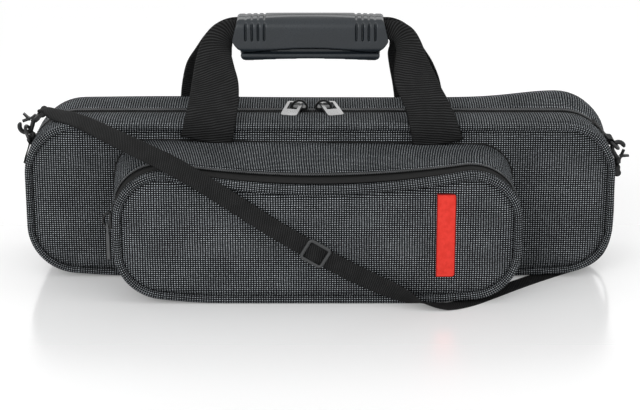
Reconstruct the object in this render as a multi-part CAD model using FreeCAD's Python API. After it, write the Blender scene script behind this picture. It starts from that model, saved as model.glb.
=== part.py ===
import FreeCAD
import Part
import math
import os

Vector = FreeCAD.Vector

# A zipped soft flute case: foam-cored clamshell with a main zipper over the top and both ends,
# a zipped pocket on the front, a wrap-round carrying grip and a clip-on shoulder strap.
# Millimetres. The case is drawn about its parting plane (y = 0, front half at -y, hinge line
# on the base), then everything moves back so that the origin is under the middle of the case.

# Case body
case_length = 444.0
case_height = 120.0
corner_radius = 38.0
rear_depth = 39.0
front_depth = 42.0
side_wall = 5.0
panel_wall = 7.0
foot_length = 220.0
base_rise = 3.0
piping_radius = 3.2
piping_proud = 2.0
fit = 0.3
parting_gap = 0.3
overrun = 2.0
cord_side_count = 8
wire_side_count = 12
cord_chord_error = 0.12
wire_chord_error = 0.03
flat_limit = 0.000001

# Main zipper
tape_width = 14.0
tape_thickness = 1.0
coil_width = 2.1
coil_height = 1.4
coil_seat = 0.05
zip_end_height = 16.0

# Foam tray for the flute
body_trough_length = 380.0
body_trough_width = 30.0
head_trough_length = 230.0
head_trough_width = 28.0
foot_trough_length = 150.0
foot_trough_width = 33.0
trough_depth = 24.0
lid_trough_depth = 9.0
trough_end_margin = 11.0
trough_ridge = 12.0
scoop_radius = 14.0
scoop_place_shares = (-0.28, 0.30)

# Front pocket
pocket_depth = 56.0
pocket_wall = 2.5
pocket_rear_half_width = 145.5
pocket_rear_shift = -7.5
pocket_rear_height = 110.0
pocket_rear_radius = 32.0
pocket_half_width = 149.3
pocket_shift = -1.8
pocket_end_height = 101.0
pocket_top_sag = 11.0
pocket_radius = 37.0
pocket_foot_length = 130.0
pocket_panel_thickness = 6.0
pocket_piping_radius = 3.0
pocket_tape_width = 8.0
pocket_coil_width = 1.8
pocket_coil_height = 1.2
pocket_zip_end_height = 16.0
pocket_binding_radius = 0.9

# Label on the pocket
label_width = 14.2
label_height = 64.0
label_thickness = 1.2
label_left = 84.6
label_foot = 21.6
label_corner = 3.2

# Carrying handle
webbing_width = 38.0
webbing_thickness = 1.6
front_strap_places = (-82.0, 85.4)
rear_strap_places = (-90.0, 69.0)
rear_strap_foot = 110.0
grip_webbing_share = 0.38
grip_centre = -7.3
grip_half_length = 58.7
grip_top = 195.2
grip_end_drop = 1.6
grip_end_turn = 3.2
grip_shoulder = 178.0
grip_half_thickness = 14.0
grip_top_round = 9.0
grip_low_round = 4.0
flap_low = 171.2
flap_arch = 3.1
flap_gap = 1.0
lip_low = 164.2
lip_arch = 1.9
lip_reach = 9.0
lip_round = 3.0
shoulder_out_share = 0.945
shoulder_middle_share = 0.93
shoulder_in_share = 0.885
shoulder_fall_share = 0.25
knee_bend_share = 0.28
front_foot_share = 0.80
rear_foot_share = 0.72
grip_channel_depth = 7.4
grip_webbing_level = 183.0
grip_webbing_offset = 5.4
slot_count = 4
slot_pitch = 4.7
slot_first = 34.5
slot_width = 1.6
slot_depth = 2.2
slot_length = 17.0

# Zip sliders
slider_length = 13.0
slider_width = 8.6
slider_plate = 1.5
slider_round = 3.0
slider_lift = 0.35
slider_flange = 1.4
bail_radius = 0.9
bail_half_span = 5.85
bail_rise = 5.5
left_slider_place = -15.7
right_slider_place = 2.7
pull_width = 10.5
pull_length = 25.0
pull_thickness = 1.4
pull_bar = 2.0
pull_window = 12.0
pull_window_back = 1.7
pull_level = 5.0
pull_play = 0.7
pull_slope = 9.5
pull_splay_left = 13.0
pull_splay_right = 17.0
pull_corner = 2.2

# Pocket slider and its pull
pocket_slider_level = 60.4
link_width = 5.6
link_bar = 1.1
link_window = 6.6
link_thickness = 1.3
link_pivot_back = 2.8
link_pivot_level = 1.6
long_pull_length = 21.0
long_pull_width = 5.0
long_pull_thickness = 2.3

# Rings, tabs and strap hooks
tab_width = 14.0
tab_thickness = 2.4
tab_patch = 12.0
tab_reach = 7.5
tab_eye_radius = 2.5
left_tab_angle = 20.0
right_tab_angle = 38.0
ring_wire = 1.25
ring_half_width = 8.6
ring_rise = 9.4
ring_corner = 1.6
left_ring_lean = 115.0
right_ring_lean = 315.0
hook_wire = 1.7
hook_loop_radius = 4.6
hook_nose_angle = -240.0
hook_nose_share = 0.5
hook_shank = 8.5
barrel_radius = 3.0
barrel_length = 3.4
barrel_floor = 0.6
pin_radius = 1.3
eye_length = 7.4
eye_half_width = 9.0
eye_bar = 1.5
left_hook_angle = 40.0
right_hook_angle = 268.0
gate_radius = 1.2
gate_lever = 6.0
gate_tip_angle = 100.0

# Shoulder strap
strap_width = 14.0
strap_thickness = 1.0
strap_doubled = 2.0
slide_frame = 24.0
slide_bar = 2.7
slide_thickness = 1.9

# Side profile of each handle strap, from the case's top edge to the grip: how far out from the
# grip end, how high, how far in towards the grip, how wide, as shares; then the webbing's turn
strap_station_shares = (
    (1.00, 0.00, 0.00, 1.04, 0.0),
    (0.99, 0.14, 0.04, 1.02, 0.0),
    (0.95, 0.34, 0.22, 0.99, 2.0),
    (0.90, 0.54, 0.44, 0.92, 7.0),
    (0.80, 0.72, 0.63, 0.80, 18.0),
    (0.58, 0.87, 0.80, 0.68, 40.0),
    (0.27, 0.97, 0.94, 0.52, 66.0),
    (0.00, 1.00, 1.00, grip_webbing_share, 90.0),
)

# Route of the shoulder strap's centre line and its width direction, from the left hook over the
# case front and the pocket, under the pocket's corner and the right end, up to the right hook
strap_route = (
    ((-209.9, -14.3, 124.9), (0.0, 1.0, 0.0)),
    ((-203.5, -18.0, 123.9), (0.05, 0.98, 0.10)),
    ((-197.3, -24.0, 123.2), (0.12, 0.97, 0.22)),
    ((-190.3, -31.0, 123.4), (0.16, 0.95, 0.28)),
    ((-182.6, -38.0, 123.4), (0.19, 0.92, 0.33)),
    ((-172.0, -47.0, 122.3), (0.27, 0.88, 0.37)),
    ((-162.3, -56.5, 120.5), (0.32, 0.84, 0.44)),
    ((-151.1, -67.0, 118.4), (0.37, 0.77, 0.53)),
    ((-136.9, -79.0, 115.5), (0.41, 0.63, 0.66)),
    ((-122.2, -90.5, 112.1), (0.42, 0.60, 0.67)),
    ((-107.9, -99.0, 107.8), (0.45, 0.48, 0.75)),
    ((-94.2, -102.2, 100.7), (0.52, 0.10, 0.84)),
    ((-79.3, -102.4, 91.1), (0.55, 0.00, 0.83)),
    ((-58.5, -102.4, 77.0), (0.56, 0.00, 0.83)),
    ((-36.3, -102.4, 61.8), (0.55, 0.00, 0.83)),
    ((-15.3, -102.4, 48.6), (0.53, 0.00, 0.85)),
    ((8.8, -102.4, 34.2), (0.50, 0.00, 0.87)),
    ((29.8, -102.4, 22.8), (0.44, 0.00, 0.90)),
    ((48.8, -102.6, 14.0), (0.36, -0.16, 0.91)),
    ((62.8, -104.6, 8.4), (0.28, -0.48, 0.78)),
    ((75.8, -107.4, 4.0), (0.14, -0.90, 0.30)),
    ((92.5, -107.6, 0.85), (-0.10, -0.99, 0.03)),
    ((108.5, -98.8, 0.6), (0.55, -0.83, 0.0)),
    ((126.5, -82.0, 0.6), (0.70, -0.71, 0.0)),
    ((147.0, -62.0, 0.6), (0.68, -0.73, 0.0)),
    ((166.5, -45.0, 0.6), (0.66, -0.75, 0.0)),
    ((184.0, -30.5, 0.6), (0.62, -0.78, 0.0)),
    ((200.0, -19.5, 1.1), (0.50, -0.86, 0.0)),
    ((213.0, -14.8, 4.6), (0.15, -0.99, 0.0)),
    ((223.0, -14.0, 13.0), (0.0, -1.0, 0.0)),
    ((228.4, -14.0, 27.0), (0.0, -1.0, 0.0)),
    ((229.8, -14.1, 44.0), (0.0, -1.0, 0.0)),
    ((229.6, -14.2, 61.0), (0.0, -1.0, 0.0)),
    ((228.9, -14.3, 77.0), (0.0, -1.0, 0.0)),
)
doubled_station_count = 16
slide_station_count = 16

# Worked out from the sizes above
pocket_front = front_depth + pocket_depth
pocket_zip_plane = pocket_front - pocket_panel_thickness - pocket_tape_width
front_reach = pocket_front + piping_proud
rear_reach = rear_depth + piping_proud
ring_tab_plane = -(tape_width + fit)
grip_channel_height = grip_webbing_share * webbing_width + 2 * fit
strap_loop_radius = eye_bar + fit + strap_thickness
origin_shift = Vector(0, (front_reach - rear_reach) / 2, 0)
X_AXIS = Vector(1, 0, 0)
Y_AXIS = Vector(0, 1, 0)
Z_AXIS = Vector(0, 0, 1)


def three_point_arc(start, middle, end):
    return Part.Arc(start, middle, end).toShape()


def corner_arc(x, y, z, radius, start_angle, end_angle):
    """Arc in a plane of constant y about (x, z)."""
    middle_angle = (start_angle + end_angle) / 2
    points = []
    for angle in (start_angle, middle_angle, end_angle):
        turn = math.radians(angle)
        points.append(Vector(x + radius * math.cos(turn), y, z + radius * math.sin(turn)))
    return three_point_arc(*points)


def lifting_base(centre, foot, side, corner, inset, y):
    """Lower edge of an outline: flat foot, then a long arc up into each corner arc."""
    reach = side - foot
    long_radius = corner + (reach ** 2 + base_rise ** 2) / (2 * base_rise)
    turn = math.degrees(math.atan2(reach, long_radius - corner - base_rise))
    low = corner + base_rise
    radius = corner - inset
    long_radius = long_radius - inset
    high = long_radius + inset
    return [
        Part.makeLine(Vector(centre - foot, y, inset), Vector(centre + foot, y, inset)),
        corner_arc(centre + foot, y, high, long_radius, -90, turn - 90),
        corner_arc(centre + side, y, low, radius, turn - 90, 0),
        corner_arc(centre - side, y, low, radius, 180, 270 - turn),
        corner_arc(centre - foot, y, high, long_radius, 270 - turn, 270),
    ]


def case_wire(inset, y):
    """Outline of the case seen from the front: round corners, base lifting towards its ends."""
    side = case_length / 2 - corner_radius
    low = base_rise + corner_radius
    high = case_height - corner_radius
    radius = corner_radius - inset
    base = lifting_base(0, foot_length / 2, side, corner_radius, inset, y)
    edges = base[:3] + [
        Part.makeLine(Vector(side + radius, y, low), Vector(side + radius, y, high)),
        corner_arc(side, y, high, radius, 0, 90),
        Part.makeLine(Vector(side, y, high + radius), Vector(-side, y, high + radius)),
        corner_arc(-side, y, high, radius, 90, 180),
        Part.makeLine(Vector(-side - radius, y, high), Vector(-side - radius, y, low)),
    ] + base[3:]
    return Part.Wire(edges)


def prism(wire, depth):
    return Part.Face(wire).extrude(Vector(0, depth, 0))


def case_slab(inset, y_start, y_end):
    return prism(case_wire(inset, y_start), y_end - y_start)


def block(x_start, x_end, y_start, y_end, z_start, z_end):
    size = (x_end - x_start, y_end - y_start, z_end - z_start)
    return Part.makeBox(*size, Vector(x_start, y_start, z_start))


def step_count(edge, chord_error):
    """Equal steps along an edge: one for a line, and for an arc enough to stay near it."""
    if not isinstance(edge.Curve, Part.Circle):
        return 1
    sweep = abs(edge.LastParameter - edge.FirstParameter)
    return math.ceil(sweep / (2 * math.acos(1 - chord_error / edge.Curve.Radius)))


def edge_stations(edge, count):
    """Points and directions at equal steps from an edge's start to just before its end."""
    first = edge.FirstParameter
    sweep = edge.LastParameter - first
    places = [first + sweep * number / count for number in range(count)]
    return [(edge.valueAt(place), edge.tangentAt(place)) for place in places]


def flat_solid(rings, closed):
    """Solid with flat faces between rings that all have the same number of corners."""
    faces = []
    pairs = list(zip(rings, rings[1:]))
    if closed:
        pairs.append((rings[-1], rings[0]))
    else:
        faces = [Part.Face(Part.makePolygon(ring + ring[:1])) for ring in (rings[0], rings[-1])]
    for ring, after in pairs:
        for a, b, c, d in zip(ring, ring[1:] + ring[:1], after[1:] + after[:1], after):
            if abs((b - a).cross(c - a).dot(d - a)) < flat_limit:
                corners = [[a, b, c, d]]
            else:
                corners = [[a, b, c], [a, c, d]]
            faces += [Part.Face(Part.makePolygon(flat + flat[:1])) for flat in corners]
    shell = Part.makeShell(faces)
    shell.sewShape()
    solid = Part.Solid(Part.Shell(shell.Faces))
    if solid.Volume < 0:
        solid.reverse()
    return solid


def tube_along(edges, radius, normal, side_count, chord_error, closed=False):
    """Tube with flat sides along smoothly joined lines and arcs that lie in one plane."""
    half_side = math.pi / side_count
    reach = radius / math.cos(half_side)
    stations = []
    for edge in edges:
        stations += edge_stations(edge, step_count(edge, chord_error))
    last = edges[-1]
    if not closed:
        stations.append((last.valueAt(last.LastParameter), last.tangentAt(last.LastParameter)))
    rings = []
    for place, travel in stations:
        across = travel.cross(normal)
        ring = []
        for number in range(side_count):
            turn = (2 * number + 1) * half_side
            ring.append(place + across * (reach * math.cos(turn)) + normal * (reach * math.sin(turn)))
        rings.append(ring)
    return flat_solid(rings, closed)


def closed_tube(wire, radius):
    return tube_along(wire.Edges, radius, Y_AXIS, cord_side_count, cord_chord_error, closed=True)


def below(level, reach):
    return block(-reach, reach, -reach, reach, -reach, level)


def mirror_y(shape):
    return shape.mirror(Vector(0, 0, 0), Y_AXIS)


def piping(depth, radius):
    """Corded seam round a panel, in the frame of the rear half."""
    return closed_tube(case_wire(piping_radius, depth + piping_proud - piping_radius), radius)


def half_cover(depth):
    """Padded fabric tray of one half, open at the parting plane, with a rebate for the tape."""
    start = parting_gap / 2
    shell = case_slab(0, tape_width, depth)
    rim = case_slab(tape_thickness + coil_seat, start, tape_width + overrun)
    shell = shell.fuse(rim)
    shell = shell.cut(case_slab(side_wall, start - overrun, depth - panel_wall))
    seam = depth + piping_proud - piping_radius
    shell = shell.cut(half_ring(-overrun, piping_radius, seam, depth + overrun))
    return shell.cut(piping(depth, piping_radius + fit / 2)).removeSplitter()


def half_ring(outer_inset, inner_inset, y_start, y_end):
    outer = case_slab(outer_inset, y_start, y_end)
    return outer.cut(case_slab(inner_inset, y_start - overrun, y_end + overrun))


def half_zip_tape():
    tape = half_ring(0, tape_thickness, parting_gap / 2, tape_width - fit / 2)
    return tape.cut(below(zip_end_height, case_length))


def half_zip_coil():
    coil = half_ring(-coil_height, -coil_seat, parting_gap / 2, parting_gap / 2 + coil_width)
    return coil.cut(below(zip_end_height + fit, case_length))


def half_hinge_strip():
    strip = half_ring(0, tape_thickness, parting_gap / 2, tape_width - fit / 2)
    return strip.common(below(zip_end_height - fit, case_length))


def trough(length, width, depth, x_start, z_centre):
    """Round-bottomed groove along x, from in front of the parting plane into the foam."""
    radius = width / 2
    straight = max(depth - radius, fit)
    bottom = straight + min(radius, depth)
    low = Vector(x_start, -overrun, z_centre - radius)
    high = Vector(x_start, -overrun, z_centre + radius)
    low_turn = Vector(x_start, straight, z_centre - radius)
    high_turn = Vector(x_start, straight, z_centre + radius)
    crown = Vector(x_start, bottom, z_centre)
    edges = [
        Part.makeLine(low, low_turn),
        three_point_arc(low_turn, crown, high_turn),
        Part.makeLine(high_turn, high),
        Part.makeLine(high, low),
    ]
    return Part.Face(Part.Wire(edges)).extrude(Vector(length, 0, 0))


def trough_rows():
    """Heights of the upper and the lower row of troughs."""
    middle = case_height / 2
    upper = middle + trough_ridge / 2 + body_trough_width / 2
    lower = middle - trough_ridge / 2 - foot_trough_width / 2
    return upper, lower


def flute_troughs(depth):
    upper, lower = trough_rows()
    left = -case_length / 2 + side_wall + trough_end_margin
    right = case_length / 2 - side_wall - trough_end_margin
    troughs = [
        trough(body_trough_length, body_trough_width, depth, left, upper),
        trough(head_trough_length, head_trough_width, depth, left, lower),
        trough(foot_trough_length, foot_trough_width, depth, right - foot_trough_length, lower),
    ]
    return troughs


def half_foam(depth, cut_depth):
    inset = side_wall + fit
    foam = case_slab(inset, parting_gap, depth - panel_wall - fit)
    for groove in flute_troughs(cut_depth):
        foam = foam.cut(groove)
    return foam


def rear_foam():
    """Moulded tray with the three flute troughs and finger scoops between them."""
    foam = half_foam(rear_depth, trough_depth)
    upper, lower = trough_rows()
    for share in scoop_place_shares:
        base = Vector(share * case_length, 0, lower)
        scoop = Part.makeCylinder(scoop_radius, upper - lower, base, Z_AXIS)
        foam = foam.cut(scoop)
    return foam


def pocket_wire(y, share, inset):
    """Outline of the pocket; share runs from 0 at the case to 1 at the pocket's front."""
    centre = pocket_rear_shift + share * (pocket_shift - pocket_rear_shift)
    half = pocket_rear_half_width + share * (pocket_half_width - pocket_rear_half_width)
    top = pocket_rear_height + share * (pocket_end_height - pocket_rear_height)
    sag = fit + share * (pocket_top_sag - fit)
    corner = pocket_rear_radius + share * (pocket_radius - pocket_rear_radius)
    radius = corner - inset
    side = half - corner
    low = base_rise + corner
    high = top - corner
    base = lifting_base(centre, pocket_foot_length / 2, side, corner, inset, y)
    left = centre - side
    right = centre + side
    sag_radius = (side ** 2 + (corner - sag) ** 2 - corner ** 2) / (2 * sag)
    slope = math.asin(side / (sag_radius + corner))
    crown = high + radius * math.cos(slope)
    step = radius * math.sin(slope)
    tangent = 90 - math.degrees(slope)
    middle = Vector(centre, y, top - sag - inset)
    edges = base[:3] + [
        Part.makeLine(Vector(right + radius, y, low), Vector(right + radius, y, high)),
        corner_arc(right, y, high, radius, 0, 180 - tangent),
        three_point_arc(Vector(right - step, y, crown), middle, Vector(left + step, y, crown)),
        corner_arc(left, y, high, radius, tangent, 180),
        Part.makeLine(Vector(left - radius, y, high), Vector(left - radius, y, low)),
    ] + base[3:]
    return Part.Wire(edges)


def pocket_share(y):
    return (-y - front_depth) / pocket_depth


def pocket_loft(y_start, y_end, inset):
    """Tapering block between two depths, with its corner arcs in short flat steps."""
    counts = [step_count(edge, cord_chord_error) for edge in pocket_wire(0, 1, 0).Edges]
    rings = []
    for y in (y_start, y_end):
        ring = []
        for edge, count in zip(pocket_wire(y, pocket_share(y), inset).Edges, counts):
            ring += [place for place, travel in edge_stations(edge, count)]
        rings.append(ring)
    return flat_solid(rings, False)


def pocket_ring(y_start, y_end, outer_inset, inner_inset):
    """Tapering wall of the pocket between two depths, y_start nearer the case."""
    outer = pocket_loft(y_start, y_end, outer_inset)
    return outer.cut(pocket_loft(y_start + overrun, y_end - overrun, inner_inset))


def pocket_box():
    back = -front_depth - fit
    seam = -(pocket_zip_plane - pocket_tape_width)
    lip = -(pocket_front - pocket_panel_thickness - fit)
    walls = pocket_ring(back, seam, 0, pocket_wall)
    floor = pocket_ring(seam, lip, 0, pocket_wall)
    floor = floor.common(below(pocket_zip_end_height, case_length))
    case_seam = mirror_y(piping(front_depth, piping_radius + fit))
    return walls.fuse(floor).removeSplitter().cut(case_seam)


def pocket_binding():
    """Narrow bound seam where the pocket's walls meet the case."""
    radius = pocket_binding_radius
    wire = pocket_wire(-front_depth - radius - fit, 0, -radius - fit)
    binding = tube_along(wire.Edges[2:-1], radius, Y_AXIS, cord_side_count, cord_chord_error)
    binding = binding.cut(pocket_loft(-front_depth, -pocket_front, -fit))
    return binding.cut(below(pocket_zip_end_height, case_length))


def pocket_zip_tape(y_start, y_end):
    tape = pocket_ring(y_start, y_end, 0, pocket_wall)
    return tape.cut(below(pocket_zip_end_height + fit, case_length))


def pocket_zip_coil(y_start, y_end):
    coil = pocket_ring(y_start, y_end, -pocket_coil_height, -coil_seat - cord_chord_error)
    return coil.cut(below(pocket_zip_end_height + fit, case_length))


def pocket_front_panel():
    face = -pocket_front
    panel = prism(pocket_wire(face, 1, 0), pocket_panel_thickness)
    rim = pocket_front_piping(pocket_piping_radius + fit / 2)
    centre_depth = pocket_piping_radius - piping_proud
    edge = prism(pocket_wire(face - overrun, 1, -overrun), centre_depth + overrun)
    core = prism(pocket_wire(face - 2 * overrun, 1, pocket_piping_radius), pocket_depth)
    return panel.cut(edge.cut(core)).cut(rim)


def pocket_front_piping(radius):
    level = -pocket_front - piping_proud + pocket_piping_radius
    return closed_tube(pocket_wire(level, 1, pocket_piping_radius), radius)


def label_tab():
    """Sewn cloth label, square at its seam and round at its free corners."""
    right = label_left + label_width
    top = label_foot + label_height
    y = -pocket_front - label_thickness - fit
    inner = right - label_corner
    edges = [
        Part.makeLine(Vector(label_left, y, label_foot), Vector(inner, y, label_foot)),
        corner_arc(inner, y, label_foot + label_corner, label_corner, -90, 0),
        Part.makeLine(Vector(right, y, label_foot + label_corner), Vector(right, y, top - label_corner)),
        corner_arc(inner, y, top - label_corner, label_corner, 0, 90),
        Part.makeLine(Vector(inner, y, top), Vector(label_left, y, top)),
        Part.makeLine(Vector(label_left, y, top), Vector(label_left, y, label_foot)),
    ]
    return prism(Part.Wire(edges), label_thickness)


def ribbon(stations):
    """Flat band through stations of (centre, width direction, half width, thickness)."""
    rings = []
    last = len(stations) - 1
    for index, (centre, across, half_width, thickness) in enumerate(stations):
        before = stations[max(index - 1, 0)][0]
        after = stations[min(index + 1, last)][0]
        travel = (after - before).normalize()
        across = (across - travel * across.dot(travel)).normalize()
        normal = travel.cross(across) * (thickness / 2)
        side = across * half_width
        corners = [
            centre - side - normal,
            centre + side - normal,
            centre + side + normal,
            centre - side + normal,
        ]
        rings.append(corners)
    return flat_solid(rings, False)


def strap_side(place, foot_level, sign, face, inner):
    """Stations of one leg of a handle strap, from its foot to the grip's end."""
    end = grip_centre + sign * grip_half_length
    rise = grip_webbing_level - case_height
    foot_width = strap_station_shares[0][3] * webbing_width
    stations = [(Vector(place, face, foot_level), X_AXIS * sign, foot_width / 2, webbing_thickness)]
    for out, up, inward, width, turn in strap_station_shares:
        angle = math.radians(turn)
        centre = Vector(end + out * (place - end), face + inward * (inner - face), case_height + up * rise)
        across = Vector(sign * math.cos(angle), 0, math.sin(angle))
        stations.append((centre, across, width * webbing_width / 2, webbing_thickness))
    return stations


def handle_strap(places, foot_level, depth, side):
    """One webbing loop: up from the panel, through its half of the grip and down again."""
    face = side * (depth + piping_proud + fit + webbing_thickness / 2)
    inner = side * grip_webbing_offset
    left = strap_side(places[0], foot_level, -1, face, inner)
    right = strap_side(places[1], foot_level, 1, face, inner)
    return ribbon(left + right[::-1])


def grip_outline(low, arch, foot_share):
    """Front view of a grip half, with slanting ends and an arched lower edge."""
    half = grip_half_length
    top = grip_top - grip_end_drop
    turn_low = top - grip_end_turn
    turn_middle = top - grip_end_turn * shoulder_fall_share
    shoulder_out = half * shoulder_out_share
    shoulder_middle = half * shoulder_middle_share
    shoulder_in = half * shoulder_in_share
    foot = half * foot_share
    knee = (half + foot) / 2
    bend = (low + grip_shoulder) / 2 - (grip_shoulder - low) * knee_bend_share

    def at(x, z):
        return Vector(grip_centre + x, 0, z)

    edges = [
        three_point_arc(at(-shoulder_in, top), at(0, grip_top), at(shoulder_in, top)),
        three_point_arc(at(shoulder_in, top), at(shoulder_middle, turn_middle), at(shoulder_out, turn_low)),
        Part.makeLine(at(shoulder_out, turn_low), at(half, grip_shoulder)),
        three_point_arc(at(half, grip_shoulder), at(knee, bend), at(foot, low)),
        three_point_arc(at(foot, low), at(0, low + arch), at(-foot, low)),
        three_point_arc(at(-foot, low), at(-knee, bend), at(-half, grip_shoulder)),
        Part.makeLine(at(-half, grip_shoulder), at(-shoulder_out, turn_low)),
        three_point_arc(
            at(-shoulder_out, turn_low),
            at(-shoulder_middle, turn_middle),
            at(-shoulder_in, top),
        ),
    ]
    return Part.Wire(edges)


def grip_section(low, low_round):
    """End view of a grip half on the +y side, round outside and flat at the parting plane."""
    x = grip_centre - grip_half_length - overrun
    start = parting_gap / 2
    out = grip_half_thickness
    top_turn = Vector(x, out - grip_top_round, grip_top)
    side_top = Vector(x, out, grip_top - grip_top_round)
    side_low = Vector(x, out, low + low_round)
    low_turn = Vector(x, out - low_round, low)
    diagonal = math.sqrt(0.5)
    top_middle = Vector(
        x,
        out - grip_top_round * (1 - diagonal),
        grip_top - grip_top_round * (1 - diagonal),
    )
    low_middle = Vector(x, out - low_round * (1 - diagonal), low + low_round * (1 - diagonal))
    edges = [
        Part.makeLine(Vector(x, start, grip_top), top_turn),
        three_point_arc(top_turn, top_middle, side_top),
        Part.makeLine(side_top, side_low),
        three_point_arc(side_low, low_middle, low_turn),
        Part.makeLine(low_turn, Vector(x, start, low)),
        Part.makeLine(Vector(x, start, low), Vector(x, start, grip_top)),
    ]
    length = 2 * (grip_half_length + overrun)
    return Part.Face(Part.Wire(edges)).extrude(Vector(length, 0, 0))


def grip_slots():
    """Finger slots near both ends, through the outer skin and over the top."""
    slots = []
    bottom = grip_top - slot_length
    for sign in (-1, 1):
        for number in range(slot_count):
            centre = grip_centre + sign * (slot_first + number * slot_pitch)
            left = centre - slot_width / 2
            right = left + slot_width
            depth = grip_half_thickness + overrun
            outer = block(left, right, 0, depth, bottom, grip_top + overrun)
            core = block(
                left - overrun,
                right + overrun,
                -overrun,
                grip_half_thickness - slot_depth,
                bottom - overrun,
                grip_top - slot_depth,
            )
            slots.append(outer.cut(core))
    return slots


def grip_body(low, arch, foot_share, low_round):
    """Half of the moulded grip on the +y side, hollowed for its webbing."""
    depth = grip_half_thickness + overrun
    body = Part.Face(grip_outline(low, arch, foot_share)).extrude(Vector(0, depth, 0))
    body = body.common(grip_section(low, low_round))
    half_channel = grip_channel_height / 2
    reach = grip_half_length + overrun
    channel = block(
        grip_centre - reach,
        grip_centre + reach,
        -overrun,
        grip_channel_depth,
        grip_webbing_level - half_channel,
        grip_webbing_level + half_channel,
    )
    body = body.cut(channel)
    for slot in grip_slots():
        body = body.cut(slot)
    return body


def front_grip_half():
    return mirror_y(grip_body(flap_low, flap_arch, front_foot_share, grip_low_round))


def grip_lip():
    """Lower edge of the rear half that shows under the front flap."""
    foot = grip_half_length * rear_foot_share
    wide = grip_half_length * front_foot_share
    rise = flap_low - flap_gap

    def at(x, z):
        return Vector(grip_centre + x, -lip_reach, z)

    edges = [
        three_point_arc(at(-wide, rise), at(0, rise + flap_arch), at(wide, rise)),
        three_point_arc(at(wide, rise), at(wide, lip_low + lip_round), at(foot, lip_low)),
        three_point_arc(at(foot, lip_low), at(0, lip_low + lip_arch), at(-foot, lip_low)),
        three_point_arc(at(-foot, lip_low), at(-wide, lip_low + lip_round), at(-wide, rise)),
    ]
    return Part.Face(Part.Wire(edges)).extrude(Vector(0, lip_reach + lip_round, 0))


def rear_grip_half():
    body = grip_body(lip_low, lip_arch, rear_foot_share, grip_low_round)
    return body.fuse(grip_lip()).removeSplitter()


def rounded_plate(half_x, half_y, radius, z_start, thickness):
    """Flat plate in the xy plane with four round corners."""
    plate = Part.makeBox(2 * half_x, 2 * half_y, thickness, Vector(-half_x, -half_y, z_start))
    upright = [edge for edge in plate.Edges if abs(edge.tangentAt(edge.FirstParameter).z) > 0.5]
    return plate.makeFillet(radius, upright)


def slider(coil):
    """Zip slider about the zip line: cover plate, flange on its own side and an arched bail."""
    under = coil + slider_lift
    plate = rounded_plate(slider_length / 2, slider_width / 2, slider_round, under, slider_plate)
    edge = slider_width / 2
    half = slider_length / 2 - slider_round
    flange = block(-half, half, edge - slider_flange, edge, slider_lift, under)
    foot = under + slider_plate / 2
    arch = three_point_arc(
        Vector(-bail_half_span, 0, foot),
        Vector(0, 0, foot + bail_rise),
        Vector(bail_half_span, 0, foot),
    )
    bail = tube_along([arch], bail_radius, Y_AXIS, cord_side_count, wire_chord_error)
    return plate.fuse([flange, bail])


def bail_leg():
    """How far the bail's wire stands from the slider's middle where the main pull hangs."""
    foot = coil_height + slider_lift + slider_plate / 2
    radius = (bail_half_span ** 2 + bail_rise ** 2) / (2 * bail_rise)
    height = pull_level - (foot + bail_rise - radius)
    return math.sqrt(radius ** 2 - height ** 2)


def main_pull(sign, splay):
    """Flat pull with a window round the slider's outer bail leg; its tip rests on the case."""
    leg = sign * bail_leg()
    centre = leg - sign * (pull_width / 2 - pull_bar - bail_radius - pull_play)
    half = pull_width / 2
    back = pull_window_back + pull_bar
    plate = rounded_plate(half, pull_length / 2, pull_corner, -pull_thickness / 2, pull_thickness)
    plate.translate(Vector(centre, back - pull_length / 2, 0))
    window = block(
        centre - half + pull_bar,
        centre + half - pull_bar,
        pull_window_back - pull_window,
        pull_window_back,
        -pull_thickness,
        pull_thickness,
    )
    plate = plate.cut(window)
    plate.rotate(Vector(0, 0, 0), X_AXIS, pull_slope)
    plate.rotate(Vector(leg, 0, 0), Z_AXIS, sign * splay)
    return plate.translated(Vector(0, 0, pull_level))


def pocket_pull():
    """Wire link through the bail and a long flat pull hanging from it, along -x."""
    half = link_width / 2
    far = link_window + link_bar
    link = block(-far, link_bar / 2, -half, half, -link_thickness / 2, link_thickness / 2)
    hole = block(
        -link_window,
        -link_bar / 2,
        link_bar - half,
        half - link_bar,
        -link_thickness,
        link_thickness,
    )
    link = link.cut(hole)
    grip = rounded_plate(
        long_pull_length / 2,
        long_pull_width / 2,
        long_pull_width / 4,
        -long_pull_thickness / 2,
        long_pull_thickness,
    )
    grip.translate(Vector(-link_window - long_pull_length / 2, 0, 0))
    return link.fuse(grip)


def place_on_pocket_side(shape):
    """Turn a slider part so that it rides on the pocket's left side, x up and z outward."""
    y = -pocket_zip_plane
    spread = pocket_half_width - pocket_rear_half_width
    drift = pocket_shift - pocket_rear_shift - spread
    seat = pocket_rear_shift - pocket_rear_half_width + pocket_share(y) * drift
    along = Vector(-drift / pocket_depth, 1, 0).normalize()
    matrix = FreeCAD.Matrix(
        0, along.x, -along.y, seat,
        0, along.y, along.x, y,
        1, 0, 0, pocket_slider_level,
        0, 0, 0, 1,
    )
    return rigid_move(shape, matrix)


def rigid_move(shape, matrix):
    moved = shape.copy()
    moved.Placement = FreeCAD.Placement(matrix).multiply(moved.Placement)
    return moved


def corner_point(sign, angle, out):
    """Point on the top corner arc of the case, angle above horizontal, out from its surface."""
    turn = math.radians(angle)
    reach = corner_radius + out
    x = case_length / 2 - corner_radius + reach * math.cos(turn)
    z = case_height - corner_radius + reach * math.sin(turn)
    return Vector(sign * x, ring_tab_plane, z)


def tab_frame(sign, angle, up):
    """Seat of a ring tab, the way along it towards its eye, and the way out from the case."""
    turn = math.radians(angle)
    out = Vector(sign * math.cos(turn), 0, math.sin(turn))
    along = Vector(-sign * math.sin(turn), 0, math.cos(turn)) * up
    return corner_point(sign, angle, fit), along, out


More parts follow.
